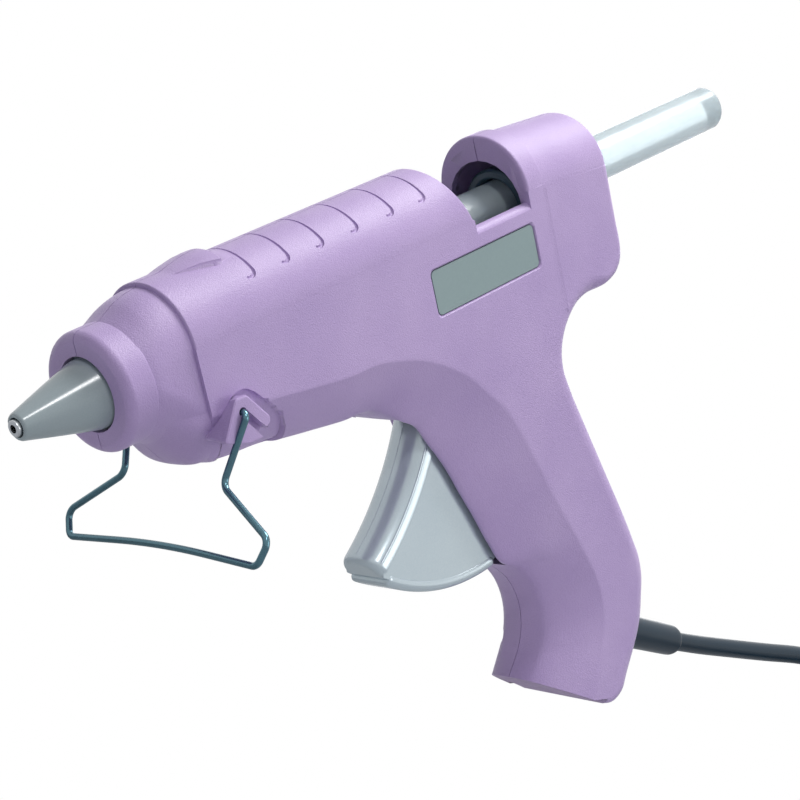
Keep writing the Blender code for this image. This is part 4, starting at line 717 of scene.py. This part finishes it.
def slotCutter():
    t = triggerSizes
    x, z = t["hinge"]
    outline = arcPoints(x, z, t["rim"] + t["slotRoom"], -80, -138, 24)
    outline += [(a * stance["length"], b * stance["length"]) for a, b in slotCorners]
    return extruded("triggerSlot", outline, -t["slotHalf"], t["slotHalf"])


# The chin blends the shell's underside into the neck
chin = {"start": 29.0, "front": 38.9, "end": 39.8, "hub": -6.0, "low": -10.0, "full": -13.5, "sink": 0.03, "lift": 0.02}


def eased(t):
    t = min(1.0, max(0.0, t))
    return t * t * (3 - 2 * t)


def treeOf(obj):
    return BVHTree.FromPolygons([v.co for v in obj.data.vertices], [tuple(p.vertices) for p in obj.data.polygons])


def chinPiece(shell, neck):
    c, trees = chin, (treeOf(shell), treeOf(neck))
    rings = []
    for x in np.linspace(c["start"], c["end"], 22):
        along = eased((x - c["start"]) / (c["front"] - c["start"]))
        ring = []
        for a in np.radians(np.linspace(-172, -8, 83)):
            way = Vector((0, math.cos(a), math.sin(a)))
            reach = []
            for tree, place in zip(trees, (max(x, c["front"]), x)):
                hub = Vector((place, 0, c["hub"]))
                reach.append((tree.ray_cast(hub + way * 60, -way)[0] - hub).length)
            depth = c["hub"] + math.sin(a) * reach[0]
            share = along * eased((c["low"] - depth) / (c["low"] - c["full"]))
            far = reach[1] - c["sink"] + (reach[0] - reach[1] + c["lift"]) * share
            ring.append(Vector((x, 0, c["hub"])) + way * far)
        rings.append(ring)
    return lofted("chin", rings)


def collarPiece():
    h, r = housing, housing["collarRound"]
    front, radius, rear = h["collarFront"], h["collarRadius"], h["neckFront"]
    profile = [(front, 0), (front, radius - r)]
    for a in np.linspace(0.15, math.pi / 2, 8):
        profile.append((front + r - r * math.cos(a), radius - r + r * math.sin(a)))
    profile += [(rear - 0.5, radius), (rear - 0.15, radius - 0.12), (rear, radius - 0.45), (rear, 0)]
    return turned("collar", profile, 96)


# Holes turned along the barrel or the boot, as (along, radius), the screw wells, and the line behind the feed
holes = {
    "nose": ((10, 0), (10, 8.3), (21.0, 8.3), (23, 8.28), (23, 0)),
    "tail": ((175, 0), (175, 7.0), (180.9, 7.0), (181.9, 8.0), (186, 8.0), (186, 0)),
    "boot": ((-6, 0), (-6, boot["neck"] + 0.3), (6, boot["neck"] + 0.3), (6, 0)),
}
well = {"floor": 5.0, "radius": 2.95}
flankLine = {"rise": 0.26, "start": 153.6, "crest": 155.6, "end": 155.95, "top": (4.4, 3.2), "bottom": (-27.0, -28.4)}
farEdge = ((97.6, -35.4), (106, -36.8), (112, -41), (114, -60), (92, -60))  # the right half's edge by the slot


def ridgePiece(side):
    f, half = flankLine, housing["half"]
    (topEnd, topFull), (lowFull, lowEnd) = f["top"], f["bottom"]
    rings = []
    for z, rise in ((topEnd, -0.1), (topFull, f["rise"]), (lowFull, f["rise"]), (lowEnd, -0.1)):
        spots = ((f["start"], -0.05), (f["crest"], rise), (f["end"], -0.15), (f["crest"], -0.6))
        rings.append([(x, side * (half + out), z) for x, out in spots])
    return lofted("ridge", rings)


def plateSeat(side):
    half = housing["half"]
    levels = ((half - plates["recess"], 0.12), (half - 0.42, 0.12), (half + 0.05, 0.62), (half + 3, 0.62))
    return lofted("plateSeat", [[(x, side * y, z) for x, z in plateRim(grow)] for y, grow in levels])


def outsideShell():
    shell = blankBody("shell", 0)
    combined(shell, barrelArch(0), "INTERSECT")
    neck = neckBlank("neck", 0, housing["neckFront"] - 1.5)
    under = chinPiece(shell, neck)
    for piece in (neck, under, collarPiece()):
        combined(shell, piece, "UNION")
    print("housing outline is made")
    for side in (-1, 1):
        combined(shell, dishCutter(side))
        combined(shell, earPiece(side), "UNION")
    combined(shell, sightWedge(), "UNION")
    for x in grooves["places"]:
        combined(shell, grooveCutter(x))
    for side in (-1, 1):
        combined(shell, plateSeat(side))
        near, far = sorted((side * 12.9, side * 22))
        combined(shell, bar("wireHole", *ears["pivot"], near, far, ears["bore"], 24))
        combined(shell, ridgePiece(side), "UNION")
    combined(shell, slotCutter())
    combined(shell, turned("noseHole", holes["nose"], 96))
    combined(shell, turned("tailHole", holes["tail"], 64))
    combined(shell, alongBoot(turned("bootHole", holes["boot"], 48)))
    for x, z in screwPlaces:
        combined(shell, bar("well", x, z, well["floor"], 20.0, well["radius"], 32))
    print("housing details are cut")
    return shell


def sideBox(side, start):  # all that lies beyond start on one side
    near, far = sorted((side * start, side * 30.0))
    return box("side", (-50, near, -200), (250, far, 60))


def innerVoid(cad, side):
    void = blankBody("void", housing["wall"])
    combined(void, barrelArch(housing["wall"]), "INTERSECT")
    combined(void, neckBlank("neckVoid", housing["wall"], 21.3), "UNION")
    combined(void, sideBox(side, -1.0), "INTERSECT")
    half = placed("cadHalf", cad.data.copy())
    half.data.transform(toGround.inverted())
    closeUp(half, 0.002)
    combined(void, half)
    return void


def makeHousing():
    shell = outsideShell()
    for side, node, name in ((-1, "left_housing", "leftShell"), (1, "right_housing", "rightShell")):
        half = placed(name, shell.data.copy())
        combined(half, sideBox(side, housing["parting"]), "INTERSECT")
        combined(half, innerVoid(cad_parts[node], side))
        if side > 0:
            combined(half, extruded("farEdge", farEdge, -1, 11.6))
        smoothed(closeUp(half), 30)
        standUp(half, "lilac", "gun_body", node)
        print(name, "is made:", len(half.data.polygons), "faces")
    bpy.data.objects.remove(shell, do_unlink=True)


makeHousing()


def swept(name, loop, centre, start, end, steps):
    x, z = centre
    a = math.radians(start)
    section = [(x + r * math.cos(a), y, z + r * math.sin(a)) for r, y in loop]
    return spun(name, section, (0, 1, 0), (x, 0, z), math.radians(end - start), steps, loop=True)


def roundRect(near, far, half, r, s, steps=6):
    loop = []
    hubs = (near + r, r - half, r), (far - s, s - half, s), (far - s, half - s, s), (near + r, half - r, r)
    for (cr, cy, q), turn in zip(hubs, (180, 270, 0, 90)):
        for i in range(steps):
            a = math.radians(turn + 90 * i / (steps - 1))
            loop.append((cr + q * math.cos(a), cy + q * math.sin(a)))
    return loop


def padPiece():
    t, last = triggerSizes, triggerSizes["padRows"] - 1
    half, front, back = t["padHalf"], t["padRadius"], t["padRadius"] + t["padDepth"]
    angles = np.radians(np.linspace(-90, 90, 31))
    section = [(front + t["padBow"] * (1 - math.cos(a)), half * math.sin(a)) for a in angles]
    edge = [(back - 0.5, half), (back - 0.12, half - 0.12), (back, half - 0.5)]
    section += edge + [(r, -y) for r, y in reversed(edge)]
    rings = []
    x, z = t["padCentre"]
    for i in range(t["padRows"] + 7):  # the last seven rows round the pad's lower end
        past = max(0, i - last) / 7.3
        angle = math.radians(t["padTop"] + (t["padEnd"] - t["padTop"]) * min(i, last) / last - 1.7 * past)
        small = math.sqrt(1 - past * past)
        ring = []
        for r, y in section:
            far = back - 0.3 + (r - back + 0.3) * (0.65 + 0.35 * small)
            ring.append((x + far * math.cos(angle), y * (0.7 + 0.3 * small), z + far * math.sin(angle)))
        rings.append(ring)
    seam = arcPoints(x, z, front + 0.05, t["padTop"], t["padEnd"], last)
    return combined(lofted("pad", rings), meshTube("seam", [(a, 0, b) for a, b in seam], t["seam"], 2), "UNION")


def armPiece():
    t, lean = triggerSizes, math.radians(triggerSizes["lean"])
    base, way = Vector(t["hinge"]), Vector((math.sin(lean), math.cos(lean)))
    across = Vector((way.y, -way.x))

    def strip(name, start, end, wide, half):
        low, high, off = base + way * start, base + way * end, across * wide
        return extruded(name, [low + off, high + off, high - off, low - off], -half, half)

    arm = strip("arm", 0, t["armLength"], t["armWide"], t["armHalf"])
    combined(arm, strip("fork", t["forkLow"], t["forkHigh"], t["forkWide"], 5))
    return bevelled(arm, 0.3, 2, 40)


def makeTrigger():
    t = triggerSizes
    hx, hz = t["hinge"]
    middle = t["padRadius"] + t["padDepth"] / 2
    web = [(hx - 2.5, hz)] + arcPoints(*t["padCentre"], middle, t["padTop"], t["padEnd"], 30)
    web += arcPoints(hx, hz, t["rim"] - t["rimDepth"] / 2, t["rimStart"], t["rear"], 40) + [(hx + 2.5, hz)]
    trigger = bevelled(extruded("triggerPiece", web, -t["web"], t["web"]), 0.3, 2, 40)
    rim = roundRect(t["rim"] - t["rimDepth"], t["rim"], t["rimHalf"], 1.2, 1.45)
    rim = swept("rim", rim, t["hinge"], t["rimStart"] + 2, t["rear"] - 1.2, 44)
    for piece in (bevelled(rim, 0.8, 3, 50), padPiece(), bar("hub", hx, hz, -7.0, 7.0, t["hub"], 40), armPiece()):
        combined(trigger, piece, "UNION")
    combined(trigger, bar("bore", hx, hz, -20, 20, t["pin"] + 0.3, 32))
    smoothed(closeUp(trigger), 32)
    standUp(trigger, "silver", "trigger", "trigger")


makeTrigger()
print("trigger is made")


nozzleProfiles = {  # (along, radius) round each wall
    "nozzleSleeve": (
        (0.8, 2.15), (0.8, 2.55), (0.95, 2.82), (1.3, 3.05), (10.0, 5.38), (19.3, 7.72), (21.8, 7.8), (21.8, 10.2),
        (23.8, 10.2), (23.8, 5.5), (21.8, 5.5), (1.4, 2.15),
    ),
    "nozzleTip": (
        (0.0, 0.9), (0.0, 1.55), (0.14, 1.78), (0.4, 1.85), (1.4, 1.85), (21.8, 5.2), (24.1, 5.2), (24.1, 7.5),
        (26.1, 7.5), (26.1, 4.2), (32.1, 4.2), (32.1, 1.8), (4.2, 1.8), (2.8, 0.9),
    ),
}


def makeNozzle():
    for name, node, finish, steps in (
        ("nozzleSleeve", "nozzle_sleeve", "nozzle grey", 96), ("nozzleTip", "nozzle", "turned steel", 72),
    ):
        piece = smoothed(turned(name, nozzleProfiles[name], steps, hollow=True), 28)
        standUp(piece, finish, "gun_body", node)


makeNozzle()


stand = {
    "angle": -122.4, "wire": 0.78, "tip": 13.2, "leg": 19.3, "knee": (15.7, 16.0), "hip": (25.5, 32.7), "half": 30.6,
    "camber": 1.7, "bends": (1.4, 3.0, 2.6, 2.0, 268.0, 2.0, 2.6, 3.0, 1.4),
}


def filleted(corners, radii, steps=8):
    corners = [Vector(c) for c in corners]
    path = [corners[0]]
    for a, p, b, r in zip(corners, corners[1:], corners[2:], radii):
        u, v = (a - p).normalized(), (b - p).normalized()
        angle = u.angle(v)
        if r <= 0 or angle > math.pi - 0.01:
            path.append(p)
            continue
        cut = min(r / math.tan(angle / 2), (a - p).length * 0.49, (b - p).length * 0.49)
        r = cut * math.tan(angle / 2)
        centre = p + (u + v).normalized() * (r / math.sin(angle / 2))
        first, last = p + u * cut - centre, p + v * cut - centre
        for i in range(steps + 1):
            path.append(centre + first.slerp(last, i / steps).normalized() * r)
    return path + [corners[-1]]


def makeStand():
    s = stand
    px, pz = ears["pivot"]
    height = (px * math.sin(tilt) + pz * math.cos(tilt)) + stance["height"]
    turn = math.radians(s["angle"])
    reach = (height - s["wire"]) / -math.sin(turn + tilt)
    corners = [(0, s["tip"]), (0, s["leg"]), s["knee"], s["hip"], (reach, s["half"]), (reach - s["camber"], 0)]
    corners = corners + [(t, -y) for t, y in reversed(corners[:-1])]
    spots = [Vector((t * math.cos(turn), y, t * math.sin(turn))) + Vector((px, 0, pz)) for t, y in corners]
    wire = meshTube("standWire", filleted(spots, s["bends"], 12), s["wire"], 6)
    smoothed(wire, 40, weigh=False)
    standUp(wire, "wire steel", "stand", "wire_stand")


makeStand()
print("nozzle and stand are made")


def makePlates():
    for side, node, name in ((-1, "name_plate", "leftPlate"), (1, "rating_plate", "rightPlate")):
        seat = housing["half"] - plates["recess"] + 0.3
        near, far = sorted((side * seat, side * (seat + plates["sheet"])))
        plate = bevelled(extruded(name, plateRim(0), near, far), 0.16, 2, 40)
        smoothed(plate, 30)
        standUp(plate, "plate grey", "gun_body", node)


makePlates()


stickSizes = {"start": 88.0, "end": 245.0, "radius": 6.0}


def makeStick():
    start, end, r = stickSizes["start"], stickSizes["end"], stickSizes["radius"]
    profile = [(start, 0), (start, r - 0.3), (start + 0.3, r)]
    profile += [(end - 0.8, r), (end - 0.25, r - 0.2), (end, r - 0.6), (end, 0)]
    stick = smoothed(turned("glueStick", profile, 72), 28)
    standUp(stick, "hot melt", "stick", "glue_stick")


makeStick()


carriageSizes = {
    "ring": 152.3, "ringEnd": 5.7, "inner": 6.6, "outer": 9.1, "low": -13.6, "rail": (3.2, 6.2), "railFront": 6.6,
    "railTop": -9.2, "driveRise": 17.5, "driveLevel": -11.5, "driveBore": 1.55, "jaw": (142.0, -11.4), "jawBore": 1.3,
}


def makeCarriage():
    c = carriageSizes
    start, rear, inner, outer = c["ring"], c["ring"] + c["ringEnd"], c["inner"], c["outer"]
    ring = [
        (start + 0.6, inner), (start, inner + 0.6), (start, outer - 0.6), (start + 0.5, outer), (rear - 0.5, outer),
        (rear, outer - 0.4), (rear, inner),
    ]
    carriage = turned("feedCarriage", ring, 72, hollow=True)
    driveX = triggerSizes["hinge"][0] + c["driveRise"] * math.tan(math.radians(triggerSizes["lean"]))
    for side in (-1, 1):
        near, far = sorted(side * y for y in c["rail"])
        rail = box("rail", (driveX - c["railFront"], near, c["low"]), (rear - 1, far, c["railTop"]))
        combined(carriage, bevelled(rail, 0.3, 2), "UNION")
    combined(carriage, box("bridge", (127.6, -4.7, c["low"]), (135.2, 4.7, c["low"] + 2)), "UNION")
    combined(carriage, box("tie", (rear - 4, -4.7, c["low"]), (rear, 4.7, -9.5)), "UNION")
    combined(carriage, bar("driveBore", driveX, c["driveLevel"], -20, 20, c["driveBore"], 24))
    combined(carriage, bar("jawBore", *c["jaw"], -20, 20, c["jawBore"], 24))
    smoothed(closeUp(carriage), 30)
    standUp(carriage, "carriage blue", "carriage", "feed_carriage")


makeCarriage()


screwSizes = {  # along each screw from its point, and its radii
    "housing_screw": {"low": -9.0, "shank": 1.3, "seat": 6.3, "head": 2.6, "top": 8.1, "cross": 1.3},
    "clamp_screw": {"low": -3.55, "shank": 0.9, "seat": 5.25, "head": 2.1, "top": 7.05, "cross": 1.3},
}
screwSpots = {"housing_screw": screwPlaces, "clamp_screw": [onBoot(-15.5, -5.8).xz, onBoot(-15.5, 5.8).xz]}
threadPitch = 0.9


def makeScrews():
    for node, s in screwSizes.items():
        shank, seat, head, rise = s["shank"], s["seat"], s["head"], s["top"] - s["seat"]
        profile = [(s["low"], 0), (s["low"], shank * 0.3)]
        for i in range(int((seat - 1 - s["low"] - 1.2) / threadPitch)):
            x = s["low"] + 1.2 + i * threadPitch
            profile += [(x, shank * 0.78), (x + 0.4, shank), (x + 0.5, shank)]
        profile += [(seat - 0.6, shank * 0.85), (seat, shank), (seat, head - 0.1), (seat + 0.15, head)]
        for along, out in ((0.45, 0.99), (0.7, 0.9), (0.88, 0.7), (0.97, 0.4), (1.0, 0.0)):
            profile.append((seat + rise * along, head * out))
        first = turned("screw", profile, 32)
        first.data.transform(Matrix.Rotation(math.pi / 2, 4, "Z"))
        for wide, tall in ((s["cross"], 0.28), (0.28, s["cross"])):
            combined(first, box("cross", (-wide, s["top"] - 1.0, -tall), (wide, s["top"] + 1, tall)))
        smoothed(closeUp(first), 30)
        for i, (x, z) in enumerate(screwSpots[node]):
            screw = placed(f"{node.replace('_', '')}{i + 1}", first.data.copy())
            screw.data.transform(Matrix.Translation((x, 0, z)))
            standUp(screw, "turned steel", "gun_body", f"{node}_{i + 1}")
        bpy.data.objects.remove(first, do_unlink=True)


makeScrews()
print("feed, plates and screws are made")


# Cord: boot, free stretch, coil and plug
cordSizes = {
    "radius": 2.65, "span": 100.0, "beyond": 159.0, "side": -9.2, "turns": 6.54, "inner": 20.8, "pitch": 5.9,
    "tail": 26.0,
}
cordRoute = (
    (0.125, -0.003, 0.017), (0.261, -0.010, 0.039), (0.435, -0.019, 0.068), (0.614, -0.030, 0.099),
    (0.745, -0.045, 0.108), (0.889, -0.026, 0.089), (1.009, 0.044, 0.024), (1.129, 0.139, -0.062),
    (1.249, 0.230, -0.146), (1.359, 0.291, -0.201), (1.419, 0.307, -0.215),
)


def makeBoot():
    b = boot
    profile = [
        (-5.5, b["bore"]), (-5.5, 6.2), (-3.1, 6.2), (-3.1, b["neck"]), (0.9, b["neck"]), (0.9, b["wide"] - 0.3),
        (1.3, b["wide"]), (10, 4.5), (20, 4.36), (30.4, 4.24), (31.8, 4.15), (32.7, 3.85), (33.2, 3.4),
        (b["length"], b["bore"]),
    ]
    piece = alongBoot(smoothed(turned("cordBoot", profile, 56, hollow=True), 30))
    standUp(piece, "cord black", "gun_body", "cord_boot")


def finer(points, spacing):
    ends = [points[0]] + list(points) + [points[-1]]
    found = [points[0]]
    for a, b, c, d in zip(ends, ends[1:], ends[2:], ends[3:]):
        steps = max(1, round((c - b).length / spacing))
        for i in range(1, steps + 1):
            t = i / steps
            near = b * (2 * t**3 - 3 * t**2 + 1) + (c - a) / 2 * (t**3 - 2 * t**2 + t)
            found.append(near + c * (3 * t**2 - 2 * t**3) + (d - b) / 2 * (t**3 - t**2))
    return found


def makeCord():
    c = cordSizes
    radius = c["radius"] / 1000
    base = stood(*onBoot(boot["length"]))
    rise = math.radians(boot["rise"])
    way = Vector((math.cos(rise), 0, math.sin(rise)))
    outer = (c["inner"] + c["pitch"] * c["turns"] / 2) / 1000
    centre = Vector((base.x + c["beyond"] / 1000, c["side"] / 1000, radius))
    entry = centre + Vector((-radius * 2, outer, 0))
    route = [base + way * 0.0003] + [base + Vector(p) * c["span"] / 1000 for p in cordRoute]
    route += [entry - Vector((radius * 2 + 0.0003, 0, 0)), entry - Vector((0.0003, 0, 0))]
    wound = finer(route, 0.004)
    steps = round(c["turns"] * 24) * 3
    for i in range(steps + 1):
        turns = i / 72
        away = abs(turns - c["turns"] / 2)
        climb = min(1.0, max(0.0, (turns - c["turns"] / 2) * 2 + 0.5))
        r = (c["inner"] + c["pitch"] * away) / 1000
        angle = math.pi / 2 - math.tau * turns
        wound.append(centre + Vector((r * math.cos(angle), r * math.sin(angle), c["pitch"] / 1000 * climb)))
    leave = Vector((math.sin(angle), -math.cos(angle), 0))
    last = wound[-1]
    drop = plugSizes["high"] / 1000 - last.z
    for share in np.linspace(0.1, 1.0, 10):
        wound.append(last + leave * c["tail"] / 1000 * share + Vector((0, 0, drop * share * share * (3 - share * 2))))
    wound.append(wound[-1] + leave * radius * 2)
    cord = tube("mainsCord", wound, radius, 5)
    cord.data.materials.append(materials["cord black"])
    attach(cord, "gun_body")
    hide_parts("cord", "cord_coil")
    plug = makePlug(wound[-1], leave)


plugSizes = {"length": 36.0, "wide": 13.1, "high": 6.75, "corner": 5.2, "pin": 2.0, "pinLength": 19.0, "apart": 18.6}


def makePlug(end, leave):
    g = plugSizes
    face = (end + leave * 0.0003) * 1000
    across, up = Vector((leave.y, -leave.x, 0)), Vector((0, 0, 1))
    shares = ((0.0, 0.32, 0.6), (0.12, 0.42, 0.8), (0.45, 0.78, 1.0), (0.7, 1.0, 1.0), (0.97, 1.0, 1.0))
    rows = between([(a * g["length"], 0, w, h) for a, w, h in shares], 1.5)
    rows = [(r[0], r[2], r[3]) for r in rows] + [(g["length"] - 0.5, 0.98, 0.96), (g["length"], 0.94, 0.88)]
    rings = []
    for along, width, height in rows:
        wide, high = g["wide"] * width, g["high"] * height
        r = min(g["corner"], high * 0.8, wide * 0.8)
        ring = []
        for sy, sz, turn in ((1, 1, 0), (-1, 1, 90), (-1, -1, 180), (1, -1, 270)):
            for i in range(7):
                a = math.radians(turn + 15 * i)
                y, z = sy * (wide - r) + r * math.cos(a), sz * (high - r) + r * math.sin(a)
                ring.append(face + leave * along + across * y + up * z)
        rings.append(ring)
    body = smoothed(lofted("plugBody", rings), 30)
    made = [body]
    for i, side in enumerate((-1, 1)):
        root = face + leave * (g["length"] + 0.3) + across * side * g["apart"] / 2
        profile = [(0, 0), (0, g["pin"]), (17.2, g["pin"]), (18.4, 1.7), (18.9, 1.1), (g["pinLength"], 0)]
        pin = turned(f"plugPin{i + 1}", profile, 32)
        pin.data.transform(Matrix.Translation(root) @ leave.to_track_quat("X", "Z").to_matrix().to_4x4())
        made.append(smoothed(closeUp(pin), 30))
    nodes = ("plug_body", "plug_pin_1", "plug_pin_2")
    for obj, node, finish in zip(made, nodes, ("cord black", "turned steel", "turned steel")):
        obj.data.transform(Matrix.Scale(0.001, 4))
        obj.data.materials.append(materials[finish])
        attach(obj, "gun_body")
        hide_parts(node)
    return made


makeBoot()
makeCord()
print("cord, coil and plug are made")


# Pieces inside keep their solids and get their finish
inside = {
    "melt_chamber": "cast alloy", "ptc_heater": "ceramic film", "heater_clip": "turned steel",
    "support_ring": "red silicone", "inlet_sleeve": "red silicone", "sleeve_clamp": "turned steel",
    "drive_pin": "turned steel", "jaw_pin": "turned steel", "trigger_pin": "turned steel", "jaw": "turned steel",
    "return_spring": "wire steel", "cord_inner_end": "cord black", "cord_clamp": "nozzle grey",
    "lead_live": "brown wire", "lead_neutral": "blue wire",
}
for node, finish in inside.items():
    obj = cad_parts[node]
    obj.data.materials.clear()
    obj.data.materials.append(materials[finish])
